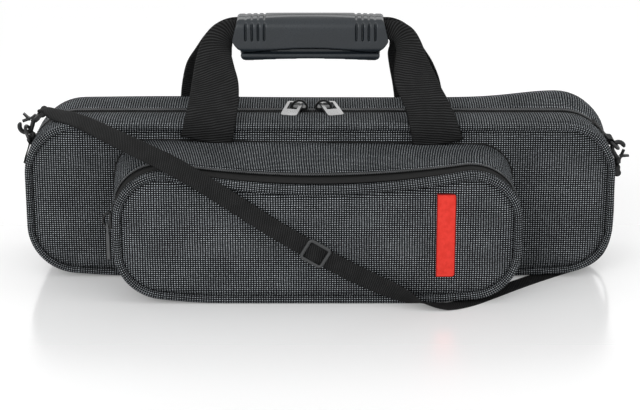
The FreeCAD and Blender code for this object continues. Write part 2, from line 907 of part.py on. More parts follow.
def ring_bar_place(sign, angle, up):
    seat, along, out = tab_frame(sign, angle, up)
    return seat + along * tab_reach + out * tab_eye_radius


def ring_tab(sign, angle, up):
    """Folded webbing tab sewn to the end of the case, with an eye for the ring."""
    seat, along, out = tab_frame(sign, angle, up)
    low = seat - along * tab_patch
    high = seat + along * tab_reach
    half = Vector(0, tab_width / 2, 0)
    corners = [low - half, high - half, high + half, low + half]
    face = Part.Face(Part.makePolygon(corners + corners[:1]))
    patch = face.extrude(out * tab_thickness)
    bar = ring_bar_place(sign, angle, up)
    eye = Part.makeCylinder(tab_eye_radius, tab_width, bar - half, Y_AXIS)
    start = bar - half - Y_AXIS * overrun
    bore = Part.makeCylinder(ring_wire + fit, tab_width + 2 * overrun, start, Y_AXIS)
    return patch.fuse(eye).cut(bore)


def lean_vector(angle):
    turn = math.radians(angle)
    return Vector(math.cos(turn), 0, math.sin(turn))


def d_ring(bar, lean):
    """Half-round wire ring: straight bar through the tab's eye, small corners and a bow."""
    rise = lean_vector(lean)
    inner = ring_half_width - ring_corner
    bow_radius = (inner ** 2 + ring_rise ** 2 - 2 * ring_rise * ring_corner) / (2 * (ring_rise - 2 * ring_corner))
    bow_middle = ring_rise - bow_radius
    turn = math.degrees(math.atan2(ring_corner - bow_middle, inner))

    def ring_arc(side, up, radius, start_angle, end_angle):
        points = []
        for angle in (start_angle, (start_angle + end_angle) / 2, end_angle):
            way = math.radians(angle)
            y = side + radius * math.cos(way)
            points.append(bar + Y_AXIS * y + rise * (up + radius * math.sin(way)))
        return three_point_arc(*points)

    edges = [
        ring_arc(inner, ring_corner, ring_corner, -90, turn),
        ring_arc(0, bow_middle, bow_radius, turn, 180 - turn),
        ring_arc(-inner, ring_corner, ring_corner, 180 - turn, 270),
    ]
    bow = tube_along(edges, ring_wire, Y_AXIS.cross(rise), wire_side_count, wire_chord_error)
    straight = Part.makeCylinder(ring_wire, 2 * inner, bar - Y_AXIS * inner, Y_AXIS)
    return straight.fuse(bow)


def hook_frame(shape, crown, angle):
    """Place a hook part, drawn along +x with its gate on +z, about the ring's bow."""
    shape = shape.copy()
    shape.rotate(Vector(0, 0, 0), Y_AXIS, -angle)
    return shape.translated(crown)


def snap_hook():
    """Hook body: open loop round the ring's bow, shank and swivel barrel along +x."""
    radius = hook_loop_radius
    leave = -math.degrees(math.acos(radius / hook_shank))
    points = []
    for angle in (leave, (leave + hook_nose_angle) / 2, hook_nose_angle):
        turn = math.radians(angle)
        points.append(Vector(radius * math.cos(turn), 0, radius * math.sin(turn)))
    neck = Vector(hook_shank, 0, 0)
    edges = [Part.makeLine(neck, points[0]), three_point_arc(*points)]
    loop = tube_along(edges, hook_wire, Y_AXIS, wire_side_count, wire_chord_error)
    forward = Y_AXIS.cross(points[2]).normalize()
    nose = Part.makeCone(hook_wire, hook_wire * hook_nose_share, hook_wire, points[2], forward)
    barrel = Part.makeCylinder(barrel_radius, barrel_length, neck, X_AXIS)
    cheek = block(
        gate_pivot().x,
        hook_shank,
        -hook_wire,
        hook_wire,
        -hook_wire / 2,
        barrel_radius,
    )
    body = loop.fuse([nose, barrel, cheek])
    bore_start = Vector(hook_shank + barrel_floor, 0, 0)
    bore = Part.makeCylinder(pin_radius + fit, barrel_length + overrun, bore_start, X_AXIS)
    return body.cut(bore).cut(gate_clearance())


def gate_pivot():
    return Vector(hook_loop_radius + gate_radius + fit * 2, 0, barrel_radius - fit)


def gate_tip():
    turn = math.radians(gate_tip_angle)
    reach = hook_loop_radius
    return Vector(reach * math.cos(turn), 0, reach * math.sin(turn))


def gate_clearance():
    half = hook_wire + overrun
    room = gate_radius + fit
    return Part.makeCylinder(room, 2 * half, gate_pivot() - Y_AXIS * half, Y_AXIS)


def hook_gate():
    """Sprung gate that closes the hook, with the thumb lever on its back."""
    pivot = gate_pivot()
    tip = gate_tip() + Vector(hook_wire + fit, 0, 0)
    boss = Part.makeCylinder(gate_radius, 2 * hook_wire, pivot - Y_AXIS * hook_wire, Y_AXIS)
    run = tip - pivot
    bar = Part.makeCylinder(gate_radius, run.Length, pivot, run)
    crest = pivot + Vector(0, 0, gate_lever)
    lever_points = [
        pivot + Vector(-gate_radius, 0, gate_radius / 2),
        crest - Vector(gate_radius, 0, 0),
        crest,
        pivot + Vector(gate_radius / 2, 0, gate_radius / 2),
    ]
    face = Part.Face(Part.makePolygon(lever_points + lever_points[:1]))
    half = Vector(0, hook_wire, 0)
    lever = face.translated(-half).extrude(half * 2)
    return boss.fuse([bar, lever])


def strap_eye_start():
    return hook_shank + barrel_length + fit


def strap_eye():
    """Swivel eye between hook and strap: pin into the barrel and a frame for the webbing."""
    start = strap_eye_start()
    pin_start = hook_shank + barrel_floor + fit
    pin = Part.makeCylinder(pin_radius, start + eye_bar - pin_start, Vector(pin_start, 0, 0), X_AXIS)
    frame = block(
        start,
        start + eye_length - eye_bar,
        -eye_half_width,
        eye_half_width,
        -eye_bar,
        eye_bar,
    )
    inside = eye_half_width - eye_bar
    window = block(
        start + eye_bar,
        start + eye_length,
        -inside,
        inside,
        -eye_bar - overrun,
        eye_bar + overrun,
    )
    frame = frame.cut(window)
    far = Vector(start + eye_length - eye_bar, -eye_half_width, 0)
    bar = Part.makeCylinder(eye_bar, 2 * eye_half_width, far, Y_AXIS)
    return pin.fuse([frame, bar])


def eye_bar_place(crown, angle):
    return crown + lean_vector(angle) * (strap_eye_start() + eye_length - eye_bar)


def eye_bore(centre):
    length = strap_width + 2 * overrun
    return Part.makeCylinder(eye_bar + fit, length, centre - Y_AXIS * (length / 2), Y_AXIS)


def strap_loop(centre):
    """End of the shoulder strap sewn round the eye's bar."""
    start = centre - Y_AXIS * (strap_width / 2)
    return Part.makeCylinder(strap_loop_radius, strap_width, start, Y_AXIS)


def shoulder_strap(left_eye, right_eye):
    stations = []
    for index, (place, across) in enumerate(strap_route):
        thickness = strap_doubled if index < doubled_station_count else strap_thickness
        stations.append((Vector(*place), Vector(*across), strap_width / 2, thickness))
    band = ribbon(stations).fuse([strap_loop(left_eye), strap_loop(right_eye)])
    for eye in (left_eye, right_eye):
        band = band.cut(eye_bore(eye))
    return band


def strap_slide():
    """Square slide that sets the strap's length: front frame, edge cheeks and a bar behind."""
    before = Vector(*strap_route[slide_station_count - 1][0])
    after = Vector(*strap_route[slide_station_count][0])
    centre = (before + after) * 0.5
    along = (after - before).normalize()
    half = slide_frame / 2
    room = strap_doubled / 2 + fit
    cheek = half - slide_bar
    frame = rounded_plate(half, half, slide_bar, room, slide_thickness)
    window = rounded_plate(cheek, cheek, slide_bar / 2, room - overrun, slide_thickness + 2 * overrun)
    frame = frame.cut(window)
    low = -room - slide_thickness
    sides = [
        block(-half + slide_bar, half - slide_bar, cheek, half, low, room),
        block(-half + slide_bar, half - slide_bar, -half, -cheek, low, room),
    ]
    bar = block(-slide_bar / 2, slide_bar / 2, -half, half, low, low + slide_thickness - fit)
    piece = frame.fuse(sides + [bar])
    outward = Vector(0, -1, 0)
    across = outward.cross(along)
    matrix = FreeCAD.Matrix(
        along.x, across.x, outward.x, centre.x,
        along.y, across.y, outward.y, centre.y,
        along.z, across.z, outward.z, centre.z,
        0, 0, 0, 1,
    )
    return rigid_move(piece, matrix)


def main():
    os.makedirs("parts", exist_ok=True)
    zip_y = -pocket_zip_plane
    rear_side = zip_y + parting_gap / 2
    front_side = zip_y - parting_gap / 2
    front_foot = pocket_rear_height + fit
    left_bar = ring_bar_place(-1, left_tab_angle, 1)
    right_bar = ring_bar_place(1, right_tab_angle, -1)
    left_crown = left_bar + lean_vector(left_ring_lean) * ring_rise
    right_crown = right_bar + lean_vector(right_ring_lean) * ring_rise
    left_eye = eye_bar_place(left_crown, left_hook_angle)
    right_eye = eye_bar_place(right_crown, right_hook_angle)
    left_slider = Vector(left_slider_place, 0, case_height)
    right_slider = Vector(right_slider_place, 0, case_height)
    seam = zip_y + pocket_tape_width - fit
    link_level = pocket_coil_height + slider_lift + slider_plate + link_pivot_level
    link_seat = Vector(-link_pivot_back, 0, link_level)
    nodes = {
        "rear_cover": half_cover(rear_depth),
        "rear_piping": piping(rear_depth, piping_radius),
        "rear_foam_tray": rear_foam(),
        "rear_zip_tape": half_zip_tape(),
        "rear_zip_coil": half_zip_coil(),
        "rear_hinge_strip": half_hinge_strip(),
        "rear_handle_strap": handle_strap(rear_strap_places, rear_strap_foot, rear_depth, 1),
        "rear_grip_half": rear_grip_half(),
        "front_cover": mirror_y(half_cover(front_depth)),
        "front_piping": mirror_y(piping(front_depth, piping_radius)),
        "front_foam_pad": mirror_y(half_foam(front_depth, lid_trough_depth)),
        "front_zip_tape": mirror_y(half_zip_tape()),
        "front_zip_coil": mirror_y(half_zip_coil()),
        "front_hinge_strip": mirror_y(half_hinge_strip()),
        "front_handle_strap": handle_strap(front_strap_places, front_foot, front_depth, -1),
        "front_grip_half": front_grip_half(),
        "pocket_box": pocket_box(),
        "pocket_binding": pocket_binding(),
        "pocket_rear_zip_tape": pocket_zip_tape(seam, rear_side),
        "pocket_rear_zip_coil": pocket_zip_coil(rear_side + pocket_coil_width, rear_side),
        "pocket_front_zip_tape": pocket_zip_tape(front_side, zip_y - pocket_tape_width + fit),
        "pocket_front_zip_coil": pocket_zip_coil(front_side, front_side - pocket_coil_width),
        "pocket_front_panel": pocket_front_panel(),
        "pocket_front_piping": pocket_front_piping(pocket_piping_radius),
        "label_tab": label_tab(),
        "main_slider_left": slider(coil_height).translated(left_slider),
        "main_slider_right": slider(coil_height).translated(right_slider),
        "main_pull_left": main_pull(-1, pull_splay_left).translated(left_slider),
        "main_pull_right": main_pull(1, pull_splay_right).translated(right_slider),
        "pocket_slider": place_on_pocket_side(slider(pocket_coil_height)),
        "pocket_pull": place_on_pocket_side(pocket_pull().translated(link_seat)),
        "ring_tab_left": ring_tab(-1, left_tab_angle, 1),
        "ring_tab_right": ring_tab(1, right_tab_angle, -1),
        "d_ring_left": d_ring(left_bar, left_ring_lean),
        "d_ring_right": d_ring(right_bar, right_ring_lean),
        "hook_left": hook_frame(snap_hook(), left_crown, left_hook_angle),
        "hook_right": hook_frame(snap_hook(), right_crown, right_hook_angle),
        "hook_gate_left": hook_frame(hook_gate(), left_crown, left_hook_angle),
        "hook_gate_right": hook_frame(hook_gate(), right_crown, right_hook_angle),
        "strap_eye_left": hook_frame(strap_eye(), left_crown, left_hook_angle),
        "strap_eye_right": hook_frame(strap_eye(), right_crown, right_hook_angle),
        "shoulder_strap": shoulder_strap(left_eye, right_eye),
        "strap_slide": strap_slide(),
    }
    for name, shape in nodes.items():
        placed = shape.translated(origin_shift)
        print(name, len(placed.Solids), placed.isValid(), round(placed.Volume))
        placed.exportStep("parts/" + name + ".step")


main()
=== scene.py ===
import math

import bmesh
import bpy
import numpy as np
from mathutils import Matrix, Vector, noise


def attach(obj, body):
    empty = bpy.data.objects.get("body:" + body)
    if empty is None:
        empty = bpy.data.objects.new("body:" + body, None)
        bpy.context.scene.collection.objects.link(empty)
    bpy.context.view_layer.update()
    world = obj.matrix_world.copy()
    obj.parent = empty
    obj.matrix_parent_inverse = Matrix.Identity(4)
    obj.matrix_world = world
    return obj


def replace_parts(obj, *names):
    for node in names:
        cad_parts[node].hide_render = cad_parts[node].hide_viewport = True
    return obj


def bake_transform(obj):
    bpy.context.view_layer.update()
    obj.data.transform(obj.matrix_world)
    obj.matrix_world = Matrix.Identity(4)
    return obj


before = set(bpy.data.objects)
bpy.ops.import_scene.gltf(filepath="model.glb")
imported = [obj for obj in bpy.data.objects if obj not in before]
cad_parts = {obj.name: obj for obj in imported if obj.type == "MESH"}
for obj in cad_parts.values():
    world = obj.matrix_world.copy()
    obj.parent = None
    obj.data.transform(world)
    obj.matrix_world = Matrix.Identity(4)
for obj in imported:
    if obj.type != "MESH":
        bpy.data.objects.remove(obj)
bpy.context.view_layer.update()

# Lengths below are in millimetres in the drawing's frame, where the parting plane is y = 0.
MM = 0.001
PARTING_Y = 29.5
CASE_HALF = 222.0
CASE_HEIGHT = 120.0
CASE_CORNER = 38.0
CASE_FOOT = 110.0  # half the flat part of the base
BASE_RISE = 3.0  # how far the base has lifted where its corners begin
REAR_DEPTH = 39.0
FRONT_DEPTH = 42.0
POCKET_FRONT = 98.0
POCKET_ZIP = 84.0
PIPING_RADIUS = 2.5
PIPING_PROUD = 2.0
ZIP_END = 16.0  # height where the zips stop and the cloth hinges begin
STRAP_LEVEL = -14.3  # depth of the strap's ends, rings and tabs
FLECK_ACROSS, FLECK_ALONG = 1.84, 1.60
LABEL_LEFT, LABEL_RIGHT, LABEL_LOW, LABEL_TOP = 84.6, 98.8, 21.6, 85.6
WHITE = (1.0, 1.0, 1.0, 1.0)

scene = bpy.context.scene


def add_object(name, data):
    made = bpy.data.objects.new(name, data)
    scene.collection.objects.link(made)
    return made


# ---- camera
camera = add_object("camera", bpy.data.cameras.new("camera"))
camera.location = (0.0, -1.3971, 0.5235)
camera.rotation_euler = (math.radians(71.41), 0.0, 0.0)
camera.data.lens = 108.77
camera.data.clip_end = 20.0
scene.camera = camera


# ---- materials
class Shader:
    """Short calls for building one material's node tree."""

    def __init__(self, name):
        self.material = bpy.data.materials.new(name)
        self.material.use_nodes = True
        self.tree = self.material.node_tree
        self.shader = self.tree.nodes["Principled BSDF"]

    def node(self, kind, *values, **settings):
        """A new node with its first inputs set or linked in order."""
        made = self.tree.nodes.new(kind)
        for key, value in settings.items():
            setattr(made, key, value)
        for index, value in enumerate(values):
            self.wire(value, made.inputs[index])
        return made

    def wire(self, source, target):
        if isinstance(source, (int, float, tuple)):
            target.default_value = source
        else:
            self.tree.links.new(source, target)

    def math(self, operation, *values, clamp=False):
        return self.node("ShaderNodeMath", *values, operation=operation, use_clamp=clamp).outputs[0]

    def remap(self, value, low, high, to_low=0.0, to_high=1.0):
        return self.node("ShaderNodeMapRange", value, low, high, to_low, to_high,
                         interpolation_type="SMOOTHSTEP").outputs[0]

    def mix(self, factor, first, second):
        made = self.node("ShaderNodeMix", data_type="RGBA")
        for key, value in (("Factor", factor), ("A", first), ("B", second)):
            self.wire(value, made.inputs[key])
        return made.outputs["Result"]

    def scaled(self, colour, factor):
        made = self.node("ShaderNodeVectorMath", colour, operation="SCALE")
        self.wire(factor, made.inputs["Scale"])
        return made.outputs[0]

    def noise(self, vector, scale, detail=2.0, roughness=0.5):
        made = self.node("ShaderNodeTexNoise", vector)
        for key, value in (("Scale", scale), ("Detail", detail), ("Roughness", roughness)):
            made.inputs[key].default_value = value
        return made.outputs["Fac"]

    def wander(self, vector, scale, amount):
        """Noise of a given spread about zero."""
        return self.math("MULTIPLY_ADD", self.noise(vector, scale), amount, -amount / 2)

    def place(self, kind):
        return self.node("ShaderNodeTexCoord").outputs[kind]

    def split(self, vector):
        return self.node("ShaderNodeSeparateXYZ", vector).outputs[:3]

    def uv(self):
        """The UV vector and its two lengths in millimetres."""
        vector = self.place("UV")
        return vector, *self.split(vector)[:2]

    def beyond(self, value, middle, half):
        """How far a value lies past a span."""
        return self.math("SUBTRACT", self.math("ABSOLUTE", self.math("SUBTRACT", value, middle)), half)

    def wave(self, value, pitch):
        """Cosine along a length in UV millimetres."""
        return self.math("COSINE", self.math("MULTIPLY_ADD", value, 2 * math.pi / pitch, 0.0))

    def finish(self, colour, height=None, distance=0.0003, strength=0.5, roughness=0.7, **sockets):
        self.wire(colour, self.shader.inputs["Base Color"])
        self.wire(roughness, self.shader.inputs["Roughness"])
        if height is not None:
            bump = self.node("ShaderNodeBump")
            for key, value in (("Strength", strength), ("Distance", distance), ("Height", height)):
                self.wire(value, bump.inputs[key])
            self.wire(bump.outputs[0], self.shader.inputs["Normal"])
        for key, value in sockets.items():
            self.shader.inputs[key.replace("_", " ")].default_value = value
        return self.material


def grey(value, warm=0.0):
    return (value * (1 + warm), value, value * (1 - warm), 1.0)


def tweed_material(name, fleck):
    """Coarse weave: a dark ground with rows of light flecks."""
    s = Shader(name)
    uv, u, v = s.uv()
    shift = s.math("ADD", s.wander(uv, 0.09, 0.9), s.wander(uv, 1.3, 0.22))
    across = s.remap(s.wave(s.math("ADD", u, shift), FLECK_ACROSS), -0.25, 0.90)
    along = s.remap(s.wave(s.math("ADD", v, shift), FLECK_ALONG), 0.10, 1.0)
    uneven = s.remap(s.noise(uv, 0.55, 3.0), 0.30, 0.72, 0.55, 1.15)
    spot = s.math("MULTIPLY", s.math("MULTIPLY", across, along), uneven, clamp=True)
    thread = s.math("ADD", s.math("MULTIPLY", across, 0.7), s.math("MULTIPLY", along, 0.3))
    dark = s.mix(s.math("MULTIPLY", thread, 0.018), grey(0.0075, -0.10), grey(fleck, -0.04))
    colour = s.mix(spot, dark, grey(fleck, -0.06))
    blotch = s.remap(s.noise(uv, 0.035), 0.3, 0.7, 0.85, 1.15)
    fuzz = s.math("MULTIPLY", s.noise(uv, 6.0), 0.35)
    height = s.math("ADD", s.math("MULTIPLY", spot, 0.8), fuzz)
    return s.finish(s.scaled(colour, blotch), height, 0.0003, 0.7, 0.85, Specular_IOR_Level=0.07)


def webbing_material(name, dark, light, pitch, skew, across_pitch, roughness):
    """Ribbed twill webbing: slanting ribs with fine threads across them."""
    s = Shader(name)
    uv, u, v = s.uv()
    rib_line = s.math("ADD", s.math("MULTIPLY_ADD", v, skew, u), s.wander(uv, 0.12, 1.2))
    rib = s.remap(s.wave(rib_line, pitch), -0.7, 0.8)
    thread = s.remap(s.wave(v, across_pitch), -0.9, 0.9)
    lift = s.math("MULTIPLY", rib, s.math("MULTIPLY_ADD", thread, 0.35, 0.65))
    worn = s.remap(s.noise(uv, 0.10, 3.0), 0.3, 0.75, 0.75, 1.2)
    amount = s.math("MULTIPLY", lift, worn, clamp=True)
    colour = s.mix(amount, grey(dark, -0.02), grey(light, -0.02))
    return s.finish(colour, lift, 0.0004, 0.9, roughness, Specular_IOR_Level=0.15)


def tape_material(name, shade):
    s = Shader(name)
    _, u, v = s.uv()
    weave = s.math("MULTIPLY", s.wave(u, 0.8), s.wave(v, 0.7))
    colour = s.mix(s.remap(weave, -1.0, 1.0), grey(shade * 0.75), grey(shade * 1.3))
    return s.finish(colour, weave, 0.00012, 0.5, 0.6, Specular_IOR_Level=0.15)


def moulded_material(name, shade, warm, roughness, grain, strength, streak, metallic=0.0):
    """Moulded rubber, plastic or plated metal with a fine grain in object space."""
    s = Shader(name)
    place = s.place("Object")
    fine = s.noise(place, grain, 4.0)
    worn = s.remap(s.noise(place, 60.0), 0.35, 0.7, 1.0 - streak, 1.0 + streak)
    rough = s.remap(fine, 0.3, 0.7, roughness * 0.85, roughness * 1.15)
    return s.finish(s.scaled(grey(shade, warm)[:3], worn), fine, 0.0001, strength, rough, Metallic=metallic)


def plush_material(name, shade):
    s = Shader(name)
    place = s.place("Object")
    pile = s.noise(place, 900.0, 3.0, 0.7)
    brushed = s.noise(place, 45.0)
    tone = s.math("ADD", s.math("MULTIPLY", pile, 0.5), s.math("MULTIPLY", brushed, 0.5))
    colour = s.mix(s.remap(tone, 0.3, 0.7), grey(shade * 0.6), (shade * 1.35, shade * 1.4, shade * 1.55, 1.0))
    return s.finish(colour, pile, 0.0006, 0.8, 0.95, Specular_IOR_Level=0.1,
                    Sheen_Weight=0.5, Sheen_Roughness=0.35)


def label_material(name):
    """Red woven cloth that darkens at the label's rim."""
    s = Shader(name)
    uv, u, v = s.uv()
    weave = s.math("MULTIPLY", s.wave(u, 0.9), s.wave(v, 0.6))
    tone = s.remap(s.noise(uv, 0.25, 3.0), 0.3, 0.7)
    base = s.mix(tone, (0.80, 0.043, 0.028, 1.0), (0.90, 0.058, 0.042, 1.0))
    woven = s.mix(s.remap(weave, -1.0, 1.0, 0.0, 0.25), base, (0.46, 0.020, 0.015, 1.0))
    past_u = s.beyond(u, (LABEL_LEFT + LABEL_RIGHT) / 2, (LABEL_RIGHT - LABEL_LEFT) / 2)
    past_v = s.beyond(v, (LABEL_LOW + LABEL_TOP) / 2, (LABEL_TOP - LABEL_LOW) / 2)
    rim = s.remap(s.math("MAXIMUM", past_u, past_v), -1.1, -0.3)
    colour = s.mix(rim, woven, (0.20, 0.008, 0.007, 1.0))
    return s.finish(colour, weave, 0.00015, 0.45, 0.7, Specular_IOR_Level=0.15)


TWEED = tweed_material("tweed_weave", 0.70)
TWEED_TUBE = tweed_material("tweed_bias_cord", 0.62)
LINING = plush_material("inner_lining", 0.030)
PLUSH = plush_material("foam_plush", 0.045)
TAPE = tape_material("zip_tape_weave", 0.014)
WEBBING = webbing_material("handle_webbing_twill", 0.0022, 0.032, 1.95, 0.34, 1.15, 0.62)
STRAP_WEB = webbing_material("strap_webbing_twill", 0.003, 0.031, 1.7, 0.85, 1.3, 0.7)
COIL = moulded_material("zip_coil_nylon", 0.085, -0.04, 0.42, 3000.0, 0.2, 0.2)
RUBBER = moulded_material("grip_rubber_satin", 0.019, -0.25, 0.30, 2200.0, 0.16, 0.08)
SILVER = moulded_material("pull_satin_silver", 0.52, 0.0, 0.30, 1500.0, 0.15, 0.12, metallic=1.0)
BLACK_METAL = moulded_material("hardware_black_nickel", 0.030, -0.02, 0.30, 1800.0, 0.12, 0.2, metallic=0.7)
GREY_PULL = moulded_material("pull_grey_paint", 0.085, -0.03, 0.42, 1500.0, 0.15, 0.12)
SLIDE_PLASTIC = moulded_material("slide_grey_plastic", 0.042, -0.04, 0.50, 1500.0, 0.2, 0.08)
LABEL = label_material("label_red_cloth")


# ---- mesh helpers
def to_frame(points):
    """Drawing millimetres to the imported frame's metres."""
    moved = np.array(points, float).reshape(-1, 3) * MM
    moved[:, 1] += PARTING_Y * MM
    return moved


def add_mesh(name, points, faces, corner_uvs, body, slot, *materials, face_materials=None):
    mesh = bpy.data.meshes.new(name)
    mesh.from_pydata(to_frame(points).tolist(), [], faces)
    uv_map = mesh.uv_layers.new(name="UVMap")
    uv_map.data.foreach_set("uv", np.array(corner_uvs, np.float32).ravel())
    for material in materials:
        mesh.materials.append(material)
    mesh.polygons.foreach_set("use_smooth", [True] * len(mesh.polygons))
    if face_materials is not None:
        mesh.polygons.foreach_set("material_index", face_materials)
    mesh.validate()
    mesh.update()
    piece = add_object(name, mesh)
    if body:
        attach(piece, body)
    return piece


class Patch:
    """Collects grids of points into one mesh with UVs in millimetres."""

    def __init__(self):
        self.points = []
        self.faces = []
        self.uvs = []
        self.marks = []

    def grid(self, points, us, vs, wrap=False, wrap_u=None, mark=0):
        """points is rows x columns x 3; us, vs are rows x columns; wrap closes the columns."""
        rows, columns = points.shape[:2]
        start = len(self.points)
        self.points.extend(points.reshape(-1, 3).tolist())
        last = columns if wrap else columns - 1
        for row in range(rows - 1):
            for column in range(last):
                right = (column + 1) % columns
                face = []
                for r, c, beyond in ((row, column, 0), (row, right, right == 0),
                                     (row + 1, right, right == 0), (row + 1, column, 0)):
                    face.append(start + r * columns + c)
                    u = wrap_u if beyond and wrap_u is not None else us[r, c]
                    self.uvs.append((u, vs[r, c]))
                self.faces.append(face)
                self.marks.append(mark)
        return self

    def planar(self, rows, mark=0):
        """Closed rings with their x and z as UVs."""
        rows = np.array(rows)
        return self.grid(rows, rows[:, :, 0], rows[:, :, 2], wrap=True, mark=mark)

    def band(self, rows, run, lengths, total=None, mark=0):
        """u runs along each row, v from row to row; a total closes the rows."""
        rows = np.array(rows)
        us = np.tile(run, (len(rows), 1))
        vs = np.tile(np.array(lengths)[:, None], (1, rows.shape[1]))
        return self.grid(rows, us, vs, wrap=total is not None, wrap_u=total, mark=mark)

    def ladder(self, rows, lengths, breadths):
        """u runs from row to row, v along each row."""
        rows = np.array(rows)
        us = np.tile(np.array(lengths)[:, None], (1, rows.shape[1]))
        return self.grid(rows, us, np.tile(breadths, (len(rows), 1)))

    def cap_ends(self, rows):
        """Close both ends of a tube whose last row repeats its first."""
        for end in (0, -1):
            cap = rows[:-1, end]
            start = len(self.points)
            self.points.extend(cap.tolist())
            order = list(range(start, start + len(cap)))
            self.faces.append(order if end else order[::-1])
            self.uvs.extend([(0.0, 0.0)] * len(cap))
            self.marks.append(0)
        return self

    def build(self, name, body, slot, *materials, weld=1e-6):
        piece = add_mesh(name, self.points, self.faces, self.uvs, body, slot, *materials,
                         face_materials=self.marks)
        if weld:
            merge_points(piece, weld)
        return piece


def merge_points(piece, distance):
    work = bmesh.new()
    work.from_mesh(piece.data)
    bmesh.ops.remove_doubles(work, verts=work.verts, dist=distance)
    bmesh.ops.dissolve_degenerate(work, dist=distance / 2, edges=work.edges)
    bmesh.ops.recalc_face_normals(work, faces=work.faces)
    work.to_mesh(piece.data)
    work.free()
    piece.data.update()


def arc_lengths(points):
    """Running length through a list of points."""
    steps = np.linalg.norm(np.diff(points, axis=0), axis=1)
    return np.concatenate(([0.0], np.cumsum(steps)))


def circle(count):
    """Angles of evenly spaced places round a circle."""
    return [2 * math.pi * index / count for index in range(count)]


def ease(value):
    value = np.clip(value, 0.0, 1.0)
    return value * value * (3 - 2 * value)


# ---- outlines
class Outline:
    """Closed outline in x and z with outward normals and a spine for its padded panel."""

    def __init__(self, places, normals, spine):
        self.places = np.array(places)
        self.normals = np.array(normals)
        self.spine = np.array(spine)
        steps = np.linalg.norm(np.roll(self.places, -1, axis=0) - self.places, axis=1)
        self.run = np.concatenate(([0.0], np.cumsum(steps)[:-1]))
        self.total = float(steps.sum())

    def toward_spine(self, inset, share, y, side):
        """Points at an inset and a depth y from the parting plane, moved a share of the way in."""
        edge = self.places - self.normals * np.reshape(inset, (-1, 1))
        moved = edge + (self.spine - edge) * share
        return np.column_stack((moved[:, 0], np.full(len(moved), 1.0) * y * side, moved[:, 1]))

    def ring(self, inset, y, side):
        return self.toward_spine(inset, 0.0, y, side)


CORNER_PLACES = 15


def build_outline(centre, half, top, sag, corner, foot, xs_count, side_count, spine_half):
    """Base, right corner, right side, top with its sag, left side: one closed run."""
    side = half - corner
    low = BASE_RISE + corner
    high = top - corner
    base_radius = corner + ((side - foot) ** 2 + BASE_RISE ** 2) / (2 * BASE_RISE)
    sag_radius = (side ** 2 + sag ** 2) / (2 * sag) - corner if sag else 0.0
    sag_centre = top - sag + sag_radius
    slope_end = math.asin(side / (sag_radius + corner)) if sag else 0.0

    def bottom(x):
        """Flat base that lifts beyond its foot."""
        off = max(0.0, abs(x) - foot)
        z = base_radius - math.sqrt(base_radius ** 2 - off ** 2)
        slope = math.copysign(math.asin(off / base_radius), x)
        return (centre + x, z), (math.sin(slope), -math.cos(slope))

    def top_edge(x):
        if not sag:
            return (centre + x, top), (0.0, 1.0)
        if abs(x) <= side - corner * math.sin(slope_end):
            z = sag_centre - math.sqrt(sag_radius ** 2 - x ** 2)
            return (centre + x, z), (-x / sag_radius, math.sqrt(1 - (x / sag_radius) ** 2))
        off = x - (side if x >= 0 else -side)
        rise = math.sqrt(corner ** 2 - off ** 2)
        return (centre + x, high + rise), (off / corner, rise / corner)

    def arc(middle, z, start, end):
        """Round corner about (middle, z) with its normals."""
        found = []
        for index in range(CORNER_PLACES):
            angle = start + (end - start) * index / (CORNER_PLACES - 1)
            nx, nz = math.cos(angle), math.sin(angle)
            found.append(((middle + corner * nx, z + corner * nz), (nx, nz)))
        return found

    xs = np.linspace(-side, side, xs_count)
    run = [bottom(x) for x in xs]
    begin = math.atan2(run[-1][0][1] - low, run[-1][0][0] - centre - side)
    rises = np.linspace(low, high, side_count)[1:-1]
    run += arc(centre + side, low, begin, 0.0)[1:]
    run += [((centre + half, z), (1.0, 0.0)) for z in rises]
    run += arc(centre + side, high, 0.0, math.pi / 2)
    run += [top_edge(x) for x in xs[::-1][1:-1]]
    run += arc(centre - side, high, math.pi / 2, math.pi)
    run += [((centre - half, z), (-1.0, 0.0)) for z in rises[::-1]]
    run += arc(centre - side, low, math.pi, math.pi - begin)[:-1]
    places = [p for p, _ in run]
    spine = []
    for x, _ in places:
        sx = max(-spine_half, min(spine_half, x - centre))
        spine.append((centre + sx, (top - sag) / 2 + (sx / half) ** 2 * sag / 2))
    return Outline(places, [n for _, n in run], spine)


CASE = build_outline(0.0, CASE_HALF, CASE_HEIGHT, 0.0, CASE_CORNER, CASE_FOOT, 125, 13, 164.0)


def pocket_outline(y):
    """Pocket outline at a depth y in front of the parting plane; it narrows toward its back seam."""
    share = (y - FRONT_DEPTH) / (POCKET_FRONT - FRONT_DEPTH)
    back = (1.0 - share) ** 2
    outline = build_outline(-7.5 + share * 5.7 + 2.6 * back, 145.5 + share * 3.8 + 3.4 * back,
                            110.0 - share * 9.0 - 2.6 * back, 0.3 + share * 10.7,
                            32.0 + share * 5.0 - 5.0 * back, 65.0, 97, 9, 104.0)
    high = np.clip(outline.places[:, 1] / 110.0, 0.0, 1.0)
    outline.places[:, 1] -= 0.0135 * back * outline.places[:, 0] * high ** 2
    return outline


def pocket_ring(inset, depth):
    return pocket_outline(depth).ring(inset, depth, -1)


def ripple(x, z, seed, amount):
    """Soft unevenness of padded cloth, in waves of about 34 mm."""
    x, z = x / 34.0, z / 34.0
    fine = noise.noise(Vector((x * 2.7, z * 2.7, seed + 9.0)))
    return amount * (noise.noise(Vector((x, z, seed))) + 0.35 * fine)


# Insets are negative where cloth stands out past an outline.
def above_floor(outline, amount):
    """Inset of a puff that fades to nothing where the outline meets the floor."""
    return -amount * ease((outline.places[:, 1] - 1.0) / 10.0)


